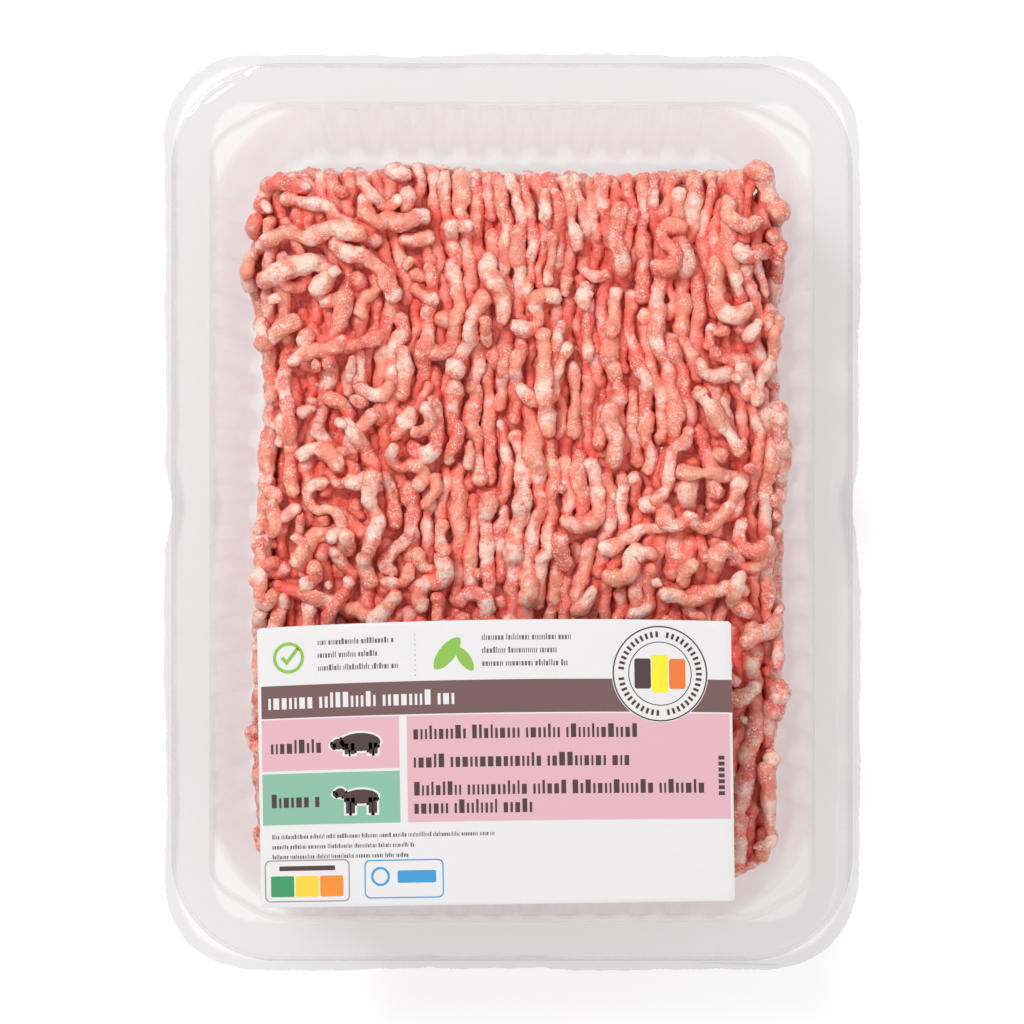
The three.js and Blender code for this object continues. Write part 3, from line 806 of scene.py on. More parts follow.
class HeapMap:
    """The heap's running height on a fine grid, as strands are laid on it one by one."""

    CELL = 0.5
    REACH = np.array((66.0, 88.0))

    def __init__(self):
        nx, ny = (2 * self.REACH / self.CELL).astype(int)
        xs = (np.arange(nx) + 0.5) * self.CELL - self.REACH[0]
        ys = (np.arange(ny) + 0.5) * self.CELL - self.REACH[1]
        grid_x, grid_y = np.meshgrid(xs, ys, indexing="ij")
        self.height = core_top(grid_x, grid_y)
        span = int(3.0 / self.CELL)
        dx, dy = np.meshgrid(np.arange(-span, span + 1), np.arange(-span, span + 1), indexing="ij")
        self.dx, self.dy = dx.ravel(), dy.ravel()
        self.away = np.hypot(self.dx, self.dy) * self.CELL
        self.average = None

    def cell(self, places):
        """The grid cell of each place."""
        i = ((places[:, 0] + self.REACH[0]) / self.CELL).astype(int)
        j = ((places[:, 1] + self.REACH[1]) / self.CELL).astype(int)
        return np.clip(i, 0, self.height.shape[0] - 1), np.clip(j, 0, self.height.shape[1] - 1)

    def cells(self, place, radius):
        """The grid cells within a radius of a place, and how far each is from it."""
        near = self.away < radius
        i = int((place[0] + self.REACH[0]) / self.CELL) + self.dx[near]
        j = int((place[1] + self.REACH[1]) / self.CELL) + self.dy[near]
        i = np.clip(i, 0, self.height.shape[0] - 1)
        j = np.clip(j, 0, self.height.shape[1] - 1)
        return i, j, self.away[near]

    def rest(self, place, radius, contact=CONTACT):
        """The height at which a ball's middle rests on what lies there, let down between its neighbours."""
        i, j, away = self.cells(place, contact * radius)
        return float(np.max(self.height[i, j] + np.sqrt(radius**2 - away**2)))

    def level(self, path):
        """The mean and the highest height under a path."""
        found = self.height[self.cell(path)]
        return float(found.mean()), float(found.max())

    def average_at(self, places):
        """The heap's average level round each place."""
        if self.average is None:
            width = 1.9 / self.CELL
            along = np.apply_along_axis(smoothed, 0, self.height, width)
            self.average = np.apply_along_axis(smoothed, 1, along, width)
        return self.average[self.cell(places)]

    def sunk(self, points, upward):
        """How much painted shade points get, from 0 to 1: more the deeper they lie between the strands and
        the more they face down, less where they lie low in the tray.
        """
        below = ramp(self.average_at(points[:, :2] - HEAP_CENTRE) - points[:, 2], -0.6, 2.2)
        # Faces that turn down get painted shade as well
        under = 0.55 * ramp(-upward, -0.55, 0.3)
        return np.minimum(below + under, 1) * (0.45 + 0.55 * ramp(points[:, 2], 17, 24))

    def press(self, place, z, radius):
        """Adds a ball to the map."""
        i, j, away = self.cells(place, radius)
        top = z + np.sqrt(radius**2 - away**2)
        np.maximum.at(self.height, (i, j), top)


def smoothed(values, width):
    """Values along a line, each averaged with its neighbours."""
    span = max(1, int(3 * width))
    kernel = np.exp(-0.5 * (np.arange(-span, span + 1) / width) ** 2)
    kernel /= kernel.sum()
    padded = np.concatenate((np.full(span, values[0]), values, np.full(span, values[-1])))
    return np.convolve(padded, kernel, "valid")


# The hidden layer of strands and the one that shows
Lanes = namedtuple("Lanes", "pitch lengths sway hooks sink contact tone step")
UNDER_LANES = Lanes(
    pitch=3.3, lengths=(50, 110), sway=0.3, hooks=0.0, sink=0.5, contact=0.4, tone=0.9, step=HIDDEN_STEP
)
TOP_LANES = Lanes(
    pitch=2.95, lengths=(14, 60), sway=0.6, hooks=0.22, sink=0.6, contact=0.3, tone=0.45, step=STEP
)


def lay(heap, path, radius, sink, contact=CONTACT):
    """Lays a strand's path on the heap: it rests on what is there, sinks in a little and bends softly."""
    lag = max(2, int(3.2 * radius / STEP))
    rest = np.empty(len(path))
    z = np.empty(len(path))
    for i, place in enumerate(path):
        rest[i] = heap.rest(place, radius, contact) - sink
        z[i] = rest[i] if i == 0 else max(rest[i], 0.55 * z[i - 1] + 0.45 * rest[i] - 0.12)
        if i >= lag:
            heap.press(path[i - lag], z[i - lag], radius)
    bent = smoothed(z, 1.9)
    z = np.maximum(bent, rest - 0.45 * radius)
    z = np.minimum(smoothed(z, 1.1), HEAP_CAP - 1.05 * radius)
    for place, level in zip(path, z):
        heap.press(place, level, radius)
    return np.column_stack((path, z))


def fat_along(distance, draw, richness):
    """Pieces of fat along a strand, as shares of 0 to 1."""
    fat = np.full(len(distance), 0.55 if draw.uniform() < 0.07 else draw.uniform(0, 0.3))
    at = draw.exponential(1) * 9.0 - 6
    while at < distance[-1]:
        piece = draw.uniform(1.5, 7.0)
        fat = np.maximum(fat, draw.uniform(0.7, 1.15) * bump(distance, at + piece / 2, piece / 1.9))
        at += piece + draw.exponential(1) * 9.0 * (1.5 - richness)
    return fat


def walk(start, heading, distance, bend):
    """A path that starts at a place and heading and turns as bend says, in radians a millimetre."""
    steps = max(6, int(distance / STEP))
    s = (np.arange(steps) + 0.5) * STEP
    turned = heading + np.cumsum(bend(s)) * STEP
    moves = np.column_stack((np.cos(turned), np.sin(turned))) * STEP
    return np.vstack((start, start + np.cumsum(moves, axis=0)))


def waves(draw, size, shortest, longest):
    """A smooth random wave along a length."""
    first, second = draw.uniform(0, TAU, 2)
    rate = TAU / draw.uniform(shortest, longest)
    return lambda s: size * (0.7 * np.sin(rate * s + first) + 0.45 * np.sin(2.3 * rate * s + second))


def keep_in_heap(path, margin):
    """Draws the places of a path that leave the heap most of the way back to its edge."""
    path = path.copy()
    for _ in range(3):
        to_side, to_end = heap_inside(path[:, 0], path[:, 1])
        past_side = np.maximum(0, margin - to_side)
        past_end = np.maximum(0, margin - to_end)
        path[:, 0] -= np.sign(path[:, 0]) * past_side * 0.6
        path[:, 1] -= np.sign(path[:, 1]) * past_end * 0.6
    return path


def uneven(at, draw, size, every):
    """Uneven values along a strand, from a random one at every so many millimetres."""
    knots = np.arange(-every, at[-1] + 2 * every, every)
    return np.interp(at, knots + draw.uniform(0, every), draw.normal(0, size, len(knots)))


class Strand:
    """A strand's middle line with its thickness, fat and tone at each point."""

    def __init__(self, points, radius, draw, tone, richness=0.5, step=STEP):
        ahead = np.linalg.norm(np.diff(points, axis=0), axis=1)
        distance = np.concatenate(([0], np.cumsum(ahead)))
        total = distance[-1]
        tips = np.array((0, 0.06, 0.22, 0.5, 0.85)) * radius
        middle = np.arange(1.25 * radius, total - 1.25 * radius, step)
        at = np.unique(np.concatenate((tips, middle, total - tips)))
        at = at[(at >= 0) & (at <= total)]
        self.points = np.column_stack([np.interp(at, distance, points[:, k]) for k in range(3)])
        self.points[:, 0] += HEAP_CENTRE[0] + uneven(at, draw, 0.16, 2.6)
        self.points[:, 1] += HEAP_CENTRE[1] + uneven(at, draw, 0.16, 2.6)
        swell = 1 + uneven(at, draw, 0.13, 2.2) + uneven(at, draw, 0.08, 7.0)
        end = np.clip(np.minimum(at, total - at) / radius, 0, 1)
        cap = np.sqrt(np.maximum(0.02, 1 - (1 - end) ** 2))
        self.radius = radius * np.clip(swell, 0.6, 1.25) * cap
        self.fat = fat_along(at, draw, richness)
        self.tone = np.clip(tone + uneven(at, draw, 0.2, 6.0), -0.2, 1.2)


def set_values(obj, **values):
    """Stores a value for each vertex under each name."""
    for key, value in values.items():
        obj.data.attributes.new(key, "FLOAT", "POINT").data.foreach_set("value", np.asarray(value, float))


def set_vectors(obj, **values):
    """Stores a vector for each vertex under each name."""
    for key, value in values.items():
        obj.data.attributes.new(key, "FLOAT_VECTOR", "POINT").data.foreach_set("vector", np.ravel(value))


def set_sunk(obj, heap):
    """Notes on each vertex how much painted shade it gets from lying deep between the strands round it and
    from facing down.
    """
    points = np.empty(3 * len(obj.data.vertices))
    normals = np.empty(3 * len(obj.data.vertices))
    obj.data.vertices.foreach_get("co", points)
    obj.data.vertices.foreach_get("normal", normals)
    set_values(obj, sunk=heap.sunk(points.reshape(-1, 3) / MM, normals.reshape(-1, 3)[:, 2]))


def strands_object(name, strands, tree, sizes, material, sides, seed):
    """One mesh of all the given strands, made along their lines by the strand tree."""
    points = np.vstack([s.points for s in strands])
    edges = []
    first = 0
    for s in strands:
        last = first + len(s.points)
        edges.extend((i, i + 1) for i in range(first, last - 1))
        first = last
    obj = new_object(name, points, [], edges)
    set_values(
        obj,
        fat=np.concatenate([s.fat for s in strands]),
        tone=np.concatenate([s.tone for s in strands]),
        thickness=np.concatenate([s.radius for s in strands]) * MM,
    )
    grow(obj, tree, {
        "Sides": sides, "Lump depth": sizes.lump_depth, "Lump size": sizes.lump_size,
        "Seed": seed, "Material": material,
    })
    return obj


def split_group(strands, sides):
    """Splits strands into as many lists as keep each one's mesh light enough."""
    triangles = 2 * sides * sum(len(s.points) for s in strands)
    parts = 1 + triangles // PIECE_TRIANGLES
    return [strands[i::parts] for i in range(parts)]


def lane_shift(x, y):
    """How far the lanes of strands wander sideways together."""
    return (
        2.2 * np.sin(y * 0.041 + x * 0.03 + 0.5)
        + 1.1 * np.sin(y * 0.093 - x * 0.05 + 2.0)
        + 0.5 * np.sin(y * 0.21 + x * 0.09)
    )


def lane_path(draw, x, y, distance, sway, hooked):
    """A strand down its lane, with its own small waves and sometimes a hook at its end."""
    ys = y - np.arange(int(distance / STEP)) * STEP
    own = waves(draw, sway, 12, 30)(y - ys)
    xs = x + lane_shift(x, ys) + own
    path = np.column_stack((xs, ys))
    if hooked and len(path) > 12:
        side = draw.choice((-1, 1))
        tight = draw.uniform(0.25, 0.4)
        tail = walk(path[-1], -math.pi / 2, draw.uniform(6, 11), lambda s: side * tight + 0 * s)
        path = np.vstack((path, tail[1:]))
    return path


def lane_strands(heap, draw, radius, lanes):
    """Strands side by side along the heap, broken up into lengths, laid in a random order."""
    jobs = []
    total = int(2 * HEAP_HALF_X / lanes.pitch)
    for lane in range(total):
        x = ((lane + 0.5) / total - 0.5) * 2 * HEAP_HALF_X
        y = HEAP_HALF_Y + draw.uniform(-2, 14)
        while y > -HEAP_HALF_Y + 6:
            distance = draw.uniform(*lanes.lengths)
            jobs.append((x, y, distance))
            y -= distance + draw.uniform(0.2, 2.0)
    draw.shuffle(jobs)
    strands = []
    for x, y, distance in jobs:
        top = min(y, float(heap_end(x, 1)) - 1.2)
        distance = min(distance - (y - top), top + float(heap_end(x, -1)) - 1.2)
        if distance < 7:
            continue
        path = lane_path(draw, x, top, distance, lanes.sway, draw.uniform() < lanes.hooks)
        path = keep_in_heap(path, radius * 0.8)
        own = radius * draw.uniform(0.78, 1.15)
        points = lay(heap, path, own, lanes.sink * draw.uniform(0.4, 1.6), lanes.contact)
        strands.append(Strand(points, own, draw, draw.normal(lanes.tone, 0.3), step=lanes.step))
    return strands


def fill_strands(heap, draw, radius):
    """Short strands dropped into the lowest places that are left."""
    strands = []
    for _ in range(FILL_STRANDS):
        tries = []
        for _ in range(FILL_TRIES):
            x = draw.uniform(-HEAP_HALF_X + 3, HEAP_HALF_X - 3)
            y = draw.uniform(-HEAP_HALF_Y + 6, HEAP_HALF_Y - 4)
            heading = -math.pi / 2 + draw.normal(0, 0.12)
            distance = draw.uniform(5, 18)
            path = walk(np.array((x, y)), heading, distance, waves(draw, 0.05, 10, 20))
            tries.append(keep_in_heap(path, radius * 0.8))
        path = min(tries, key=lambda one: heap.level(one)[0])
        own = radius * draw.uniform(0.7, 1.0)
        strands.append(Strand(lay(heap, path, own, 0.5), own, draw, draw.normal(0.55, 0.3)))
    return strands


def curl_places(draw, total):
    """Where loose strands lie: more along the left side, in the upper right and at the lower right."""
    places = []
    while len(places) < total:
        x = draw.uniform(-HEAP_HALF_X + 2, HEAP_HALF_X - 2)
        y = draw.uniform(-HEAP_HALF_Y + 3, HEAP_HALF_Y - 3)
        wild = max(
            0.95 * float(ramp(-x, 8, 34)),
            0.95 * float(bump(x, 42, 20) * bump(y, -6, 22)),
            0.8 * float(bump(x, 44, 16) * bump(y, 48, 24)),
            0.6 * float(ramp(-y, 36, 60)),
        )
        if draw.uniform() < 0.1 + 0.9 * wild:
            places.append((x, y, wild))
    return places


def curl_strands(heap, draw, total, radius):
    """Loose strands: hooks, waves, open loops and short pieces."""
    strands = []
    for x, y, wild in curl_places(draw, total):
        own = radius * draw.uniform(0.78, 1.15)
        paths = [loose_path(draw, x, y, wild, own) for _ in range(CURL_TRIES)]
        path = min(paths, key=lambda one: heap.level(one)[0])
        if heap.level(path)[1] > HEAP_CAP - 1.4 * own:
            continue
        points = lay(heap, path, own, CURL_SINK)
        strands.append(Strand(points, own, draw, draw.normal(0.35, 0.3), 0.75))
    return strands


def loose_path(draw, x, y, wild, radius):
    """One possible path of a loose strand near a place."""
    kind = draw.choice(("run", "wave", "hook", "loop", "crook", "stub"), p=kind_shares(wild))
    heading = -math.pi / 2 + draw.normal(0, 0.14 + 1.3 * wild)
    distance, bend = strand_bend(kind, draw)
    near = np.array((x, y)) + draw.uniform(-3, 3, 2)
    start = near - 0.4 * distance * np.array((math.cos(heading), math.sin(heading)))
    return keep_in_heap(walk(start, heading, distance, bend), radius * 0.6)


def kind_shares(wild):
    """How often each kind of loose strand comes, in calm and in wild parts of the heap."""
    calm = np.array((0.44, 0.24, 0.12, 0.02, 0.04, 0.14))
    curly = np.array((0.02, 0.2, 0.24, 0.18, 0.12, 0.24))
    return calm * (1 - wild) + curly * wild


def strand_bend(kind, draw):
    """The length of a loose strand and how it bends along it."""
    side = draw.choice((-1, 1))
    sway = waves(draw, 0.06, 10, 20)
    if kind == "run":
        return draw.uniform(12, 34), sway
    if kind == "wave":
        return draw.uniform(14, 28), waves(draw, draw.uniform(0.2, 0.34), 10, 18)
    if kind == "hook":
        distance = draw.uniform(13, 24)
        tight = draw.uniform(0.26, 0.42)
        return distance, lambda s: sway(s) + side * tight * ramp(s, distance * 0.45, distance * 0.6)
    if kind == "loop":
        tight = draw.uniform(0.22, 0.36)
        return draw.uniform(2.4, 4.2) / tight, lambda s: sway(s) + side * tight
    if kind == "crook":
        distance = draw.uniform(13, 22)
        tight = draw.uniform(0.3, 0.42)
        return distance, lambda s: sway(s) + side * tight * np.sign(s - distance * 0.5)
    return draw.uniform(5, 10), lambda s: sway(s) + side * 0.1


def side_strands(draw, radius):
    """Strands along the two long sides, one row above the other, slumped out at the foot."""
    strands = []
    rows = round((TOP_LEVEL - 2) / (1.85 * radius))
    pitch = (TOP_LEVEL - 2) / rows
    for side in (-1, 1):
        for row in range(rows):
            z0 = 0.9 + radius + row * pitch
            y = HEAP_HALF_Y - 3 - draw.uniform(0, 5)
            while y > -HEAP_HALF_Y + 12:
                distance = min(draw.uniform(26, 75), y + HEAP_HALF_Y - 3)
                steps = int(distance / STEP)
                ys = y - np.arange(steps) * STEP
                across = waves(draw, 0.7, 14, 34)(ys)
                level = z0 + waves(draw, 0.9, 16, 40)(ys)
                slump = (2.6 if side < 0 else 2.0) * (1 - level / TOP_LEVEL) ** 1.3
                corner = round_in(HEAP_HALF_Y - np.abs(ys), HEAP_ROUND)
                xs = side * (heap_edge(ys, side) - corner - radius - 0.2 + slump + across * 0.6)
                own = radius * draw.uniform(0.86, 1.12)
                points = clear_of_tray(np.column_stack((xs, ys, level)), own)
                strands.append(Strand(points, own, draw, draw.normal(0.4, 0.3), 0.0))
                y -= distance + draw.uniform(-1, 2.5)
    return strands


def end_strands(draw, radius):
    """Strands that bend down over the two ends of the heap."""
    strands = []
    for side in (-1, 1):
        for layer, step in ((0, 3.1), (1, 3.8)):
            x = -HEAP_HALF_X + 6 + draw.uniform(0, 2)
            while x < HEAP_HALF_X - 6:
                strands.append(hanging_strand(draw, radius, side, layer, x))
                x += step * draw.uniform(0.85, 1.25)
    return strands


def hanging_strand(draw, radius, side, layer, x):
    """One strand that comes over the top edge of an end and hangs down its face."""
    own = radius * draw.uniform(0.86, 1.12)
    top = TOP_LEVEL - 2.5 + 2.2 * layer + draw.uniform(-1, 1)
    turn = draw.uniform(4, 7)
    face = heap_end(x, side) - own - 1.6 + 1.4 * layer + draw.uniform(-0.4, 0.4)
    low = draw.uniform(2.0, 5.0) if layer == 0 else draw.uniform(3, 18)
    back = draw.uniform(2, 9)
    line = [(face - turn - back + s, top) for s in np.arange(0, back, STEP)]
    for angle in np.arange(0, math.pi / 2, STEP / turn):
        line.append((face - turn + turn * math.sin(angle), top - turn + turn * math.cos(angle)))
    line += [(face + 0.05 * s, top - turn - s) for s in np.arange(0, max(1, top - turn - low), STEP)]
    line = np.array(line)
    s = np.arange(len(line)) * STEP
    xs = x + waves(draw, 1.1, 14, 30)(s)
    corner = round_in(np.maximum(0, HEAP_HALF_X - np.abs(xs)), HEAP_ROUND)
    ys = side * (line[:, 0] - corner * 0.8 + 0.5 * waves(draw, 0.8, 10, 22)(s))
    points = clear_of_tray(np.column_stack((xs, ys, line[:, 1])), own)
    return Strand(points, own, draw, draw.normal(0.4, 0.3), 0.0)


def clear_of_tray(points, radius):
    """Keeps a strand's middle line off the tray's floor and walls."""
    points = points.copy()
    points[:, 2] = np.maximum(points[:, 2], 1.1 + 1.15 * radius)
    rise = np.clip((points[:, 2] - FOOT_HEIGHT) / (FLANGE_TOP - FOOT_HEIGHT), 0, 1)
    inset = np.where(points[:, 2] < FOOT_HEIGHT, FOOT_INSET - 1.5, WALL_INSET * (1 - rise))
    for axis in (0, 1):
        reach = MOUTH_HALF[axis] - inset - radius - 1.1
        points[:, axis] = np.clip(points[:, axis] + HEAP_CENTRE[axis], -reach, reach) - HEAP_CENTRE[axis]
    return points


def build_core(heap, sizes, material):
    """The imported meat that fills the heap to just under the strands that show."""
    half = np.array((HEAP_HALF_X, HEAP_HALF_Y)) - CORE_INSET
    places, normals, _, _ = outline(half, HEAP_ROUND, (110, 80), 12)
    rows = []
    for shrink in np.linspace(0.03, 0.92, 30):
        rows.append(np.column_stack((places * shrink, np.full(len(places), CORE_FLOOR))))
    for inset, z in CORE_SIDE:
        rows.append(np.column_stack((places - normals * inset, np.full(len(places), z))))
    for shrink in np.linspace(0.99, 0.02, 80):
        xy = places * shrink
        top = heap.average_at(xy) - CORE_DEPTH
        rows.append(np.column_stack((xy, np.maximum(top, CORE_TOP_LOW))))
    rows = np.array(rows)
    middle = (*HEAP_CENTRE, rows[-1, :, 2].mean())
    rows[:, :, :2] += HEAP_CENTRE
    obj = lofted("mince_core", rows, (*HEAP_CENTRE, CORE_FLOOR), middle)
    tone, fat = CORE_TONE_AND_FAT
    total = len(obj.data.vertices)
    set_values(obj, tone=np.full(total, tone), fat=np.full(total, fat))
    grow(obj, core_tree(), {
        "Lump depth": sizes.lump_depth, "Lump size": sizes.lump_size, "Seed": sizes.seed,
        "Material": material,
    })
    return obj


def build_crumbs(heap, draw, sizes, material):
    """Small crumbs of mince in the gaps and on the strands."""
    points, stretch, turns, fats, tones = [], [], [], [], []
    for x, y, wild in curl_places(draw, sizes.crumbs):
        radius = draw.uniform(0.7, 1.5)
        tries = np.array((x, y)) + draw.uniform(-4, 4, (CURL_TRIES, 2))
        x, y = min(tries, key=lambda one: heap.level(one[None])[0])
        z = min(heap.rest((x, y), radius) - radius * 0.7, HEAP_CAP - radius)
        heap.press((x, y), z, radius)
        points.append((x + HEAP_CENTRE[0], y + HEAP_CENTRE[1], z))
        shape = (draw.uniform(0.9, 1.7), draw.uniform(0.8, 1.1), draw.uniform(0.7, 1.0))
        stretch.append(radius * MM * np.array(shape))
        turns.append(draw.uniform(0, TAU, 3) * np.array((0.1, 0.1, 1)))
        fats.append(draw.choice((0.1, 0.3, 0.9), p=(0.5, 0.25, 0.25)))
        tones.append(draw.uniform(0.1, 0.8))
    obj = new_object("mince_crumbs", points, [])
    set_values(obj, fat=fats, tone=tones)
    set_vectors(obj, stretch=stretch, turn=turns)
    grow(obj, crumb_tree(), {
        "Lump depth": sizes.lump_depth, "Lump size": sizes.lump_size, "Seed": sizes.seed,
        "Material": material,
    })
    return obj


def build_mince(sizes):
    """The whole heap: core, strands along it, strands at its sides and ends, curls and crumbs."""
    draw = np.random.default_rng(sizes.seed)
    radius = sizes.strand / MM / 2
    heap = HeapMap()
    material = mince_material(sizes)
    tree = strand_tree()
    under = lane_strands(heap, draw, radius, UNDER_LANES)
    main = lane_strands(heap, draw, radius, TOP_LANES)
    main += fill_strands(heap, draw, radius)
    curls = curl_strands(heap, draw, sizes.curls, 1.03 * radius)
    groups = (
        ("mince_under", under, 8), ("mince_strands", main, 12), ("mince_curls", curls, 12),
        ("mince_sides", side_strands(draw, radius), 10), ("mince_ends", end_strands(draw, radius), 10),
    )
    pieces = []
    for name, strands, sides in groups:
        for index, part in enumerate(split_group(strands, sides)):
            seed = sizes.seed + len(pieces)
            pieces.append(strands_object(f"{name}_{index + 1}", part, tree, sizes, material, sides, seed))
    pieces.append(build_crumbs(heap, draw, sizes, material))
    pieces.append(build_core(heap, sizes, material))
    for piece in pieces:
        # Each piece notes where painted shade goes in its crevices and undersides
        set_sunk(piece, heap)
        finished(piece, material, "mince")


# The film lid


# Where the free edge is pinched in: the side, the place along it and how far
FILM_PINCHES = ((-1, 1.0, 1.9), (1, 1.0, 1.1))

# Creases in the film near its edge: the two ends of each, and its height as a share of the usual
FILM_CREASES = (
    ((-69.5, 83.0), (-51.5, 95.4), 1.0),
    ((-7.0, 91.5), (-4.0, 92.6), 0.9),
    ((-2.0, 91.2), (1.5, 92.4), 0.9),
    ((8.0, 92.2), (20.5, 93.2), 0.8),
    ((-38.5, -94.2), (-35.0, -93.4), 0.9),
    ((-50.0, -94.6), (30.0, -94.9), 0.45),
    ((37.5, -94.8), (57.0, -95.6), 0.9),
    ((67.0, -86.5), (60.5, -92.0), 0.8),
    ((50.0, -87.0), (58.0, -80.0), 0.5),
    ((-59.0, -89.5), (-55.5, -89.9), 0.8),
    ((-72.0, 1.0), (-69.5, 0.2), 1.0),
    ((72.5, 1.0), (70.0, 0.4), 1.0),
)


def crease_height(x, y):
    """How far the creases lift the film at a place, as a share of the usual."""
    lift = np.zeros_like(x)
    for (x0, y0), (x1, y1), strength in FILM_CREASES:
        along = np.array((x1 - x0, y1 - y0))
        span = np.linalg.norm(along)
        along /= span
        s = (x - x0) * along[0] + (y - y0) * along[1]
        d = (y - y0) * along[0] - (x - x0) * along[1]
        taper = ramp(s, -1.2, 1.0) * (1 - ramp(s, span - 1.0, span + 1.2))
        lift = np.maximum(lift, strength * taper * np.exp(-((d / 0.5) ** 2)))
    return lift


def film_edge(places, normals):
    """How far the trimmed edge is drawn in from the film's full reach."""
    angle = np.arctan2(places[:, 1] / 97.3, places[:, 0] / 74.0)
    wander = np.sin(7 * angle + 0.8) + 0.6 * np.sin(17 * angle + 2.0) + 0.4 * np.sin(41 * angle)
    nicks = 0.12 * np.abs(np.sin(173 * angle) + np.sin(271 * angle + 1))
    drawn = 0.8 * np.clip(0.35 + 0.35 * wander, 0, 1) + nicks
    for side, y, depth in FILM_PINCHES:
        drawn = drawn + np.where(normals[:, 0] * side > 0.9, depth * bump(places[:, 1], y, 7), 0)
    return drawn


def build_film(sizes):
    """The clear film: flat on the flange and over the mince, creased and drooping at its free edge."""
    places, normals, _, _ = outline(FILM_HIGH[:2], 19.0, (330, 240), 40)
    places = places - normals * film_edge(places, normals)[:, None]
    insets = [*np.arange(0, 7.2, 0.36), *np.arange(7.5, 9.5, 0.7), *np.arange(9.8, 11.6, 0.3), 14]
    thickness = sizes.thickness / MM
    base = FILM_LOW[2] + 0.02
    top_rows = []
    sealed = []
    for inset in insets:
        clouded = 1 - (1 - SEAL_SHARE) * ramp(inset, 2.0, 3.2)
        clouded -= SEAL_SHARE * ramp(inset, SEAL_WIDTH - 0.6, SEAL_WIDTH + 0.4)
        sealed.append(np.full(len(places), clouded))
        xy = places - normals * inset
        beyond = np.maximum(np.abs(xy) - RIM_HALF + 0.4, 0).max(axis=1)
        droop = sizes.droop / MM * smooth(beyond / 2.4)
        rumple = 0.05 * np.sin(xy[:, 0] * 0.9 + 1) * np.sin(xy[:, 1] * 0.7)
        rumple *= 1 - ramp(np.array(inset), 4, 9)
        lift = crease_height(xy[:, 0], xy[:, 1]) * sizes.crease / MM + 0.22 * float(bump(inset, 5.1, 0.42))
        z = base + thickness + np.minimum(np.abs(rumple) * 0.8 + lift, CREASE_CAP) - droop
        top_rows.append(np.column_stack((xy, z)))
    for shrink in (0.6, 0.3, 0.1):
        xy = (places - normals * insets[-1]) * shrink
        top_rows.append(np.column_stack((xy, np.full(len(xy), base + thickness))))
        sealed.append(np.zeros(len(xy)))
    top_rows = np.array(top_rows)
    low_rows = top_rows.copy()
    low_rows[:, :, 2] -= thickness
    rows = np.concatenate((low_rows[::-1], top_rows))
    seals = [("sealed", sealed[::-1] + sealed)]
    obj = lofted("film_sheet", rows, (0, 0, base), (0, 0, base + thickness), seals)
    material = clear_plastic("clear_film", [0.992] * 3, [0.97] * 3, sizes.gloss, 0.05, 0.0, sizes.sealed_tint)
    finished(obj, material, "lid_film")
    # Light and scattered rays pass the film as if it weren't there, which saves much render time
    obj.visible_shadow = False
    obj.visible_diffuse = False


# The label and its print


class LabelPlace:
    """Turns a place on the label, in photo-like millimetres from its lower left corner, into the frame."""

    def __init__(self, sizes):
        self.width = sizes.width / MM
        self.height = sizes.height / MM
        self.bow = sizes.bow / MM
        self.turn = sizes.turn
        self.centre = np.array((LABEL_LOW[:2] + LABEL_HIGH[:2]) / 2)
        self.base = LABEL_LOW[2]

    def at(self, u, v, z=0.0):
        """u and v in millimetres from the lower left corner, z in millimetres above the label's foot."""
        u = np.asarray(u, float)
        v = np.asarray(v, float)
        across = 2 * u / self.width - 1
        bowed = v + self.bow * (v / self.height) * (1 - across**2)
        x = u - self.width / 2
        y = bowed - self.height / 2 - self.bow / 2
        cos, sin = math.cos(self.turn), math.sin(self.turn)
        height = np.full_like(x, self.base + z)
        across = self.centre[0] + x * cos - y * sin
        along = self.centre[1] + x * sin + y * cos
        return np.stack((across, along, height), axis=-1)


def build_label(sizes):
    """The paper label and everything printed on it."""
    place = LabelPlace(sizes)
    build_paper(place, sizes)
    build_print(place, sizes)


def build_paper(place, sizes):
    """The bare label: a thin sheet with slightly rounded corners."""
    half = np.array((place.width, place.height)) / 2
    places, normals, _, _ = outline(half, 0.8, (40, 60), 5)
    rings = [(places * shrink, 0.0) for shrink in (0.9, 0.5, 0.1)]
    for inset, z in ((0.3, 0.0), (0.0, 0.02), (0.0, PAPER_THICKNESS - 0.02), (0.03, PAPER_THICKNESS)):
        rings.append((places - normals * inset, z))
    rings += [(places * shrink, PAPER_THICKNESS) for shrink in (0.97, 0.85, 0.7, 0.5, 0.3, 0.1)]
    rows = [place.at(*(ring + half).T, z) for ring, z in rings]
    middle = place.at(half[0], half[1])
    obj = lofted("label_sheet", rows, middle, middle + (0, 0, PAPER_THICKNESS))
    finished(obj, paper_material("label_paper", sizes.paper), "label")


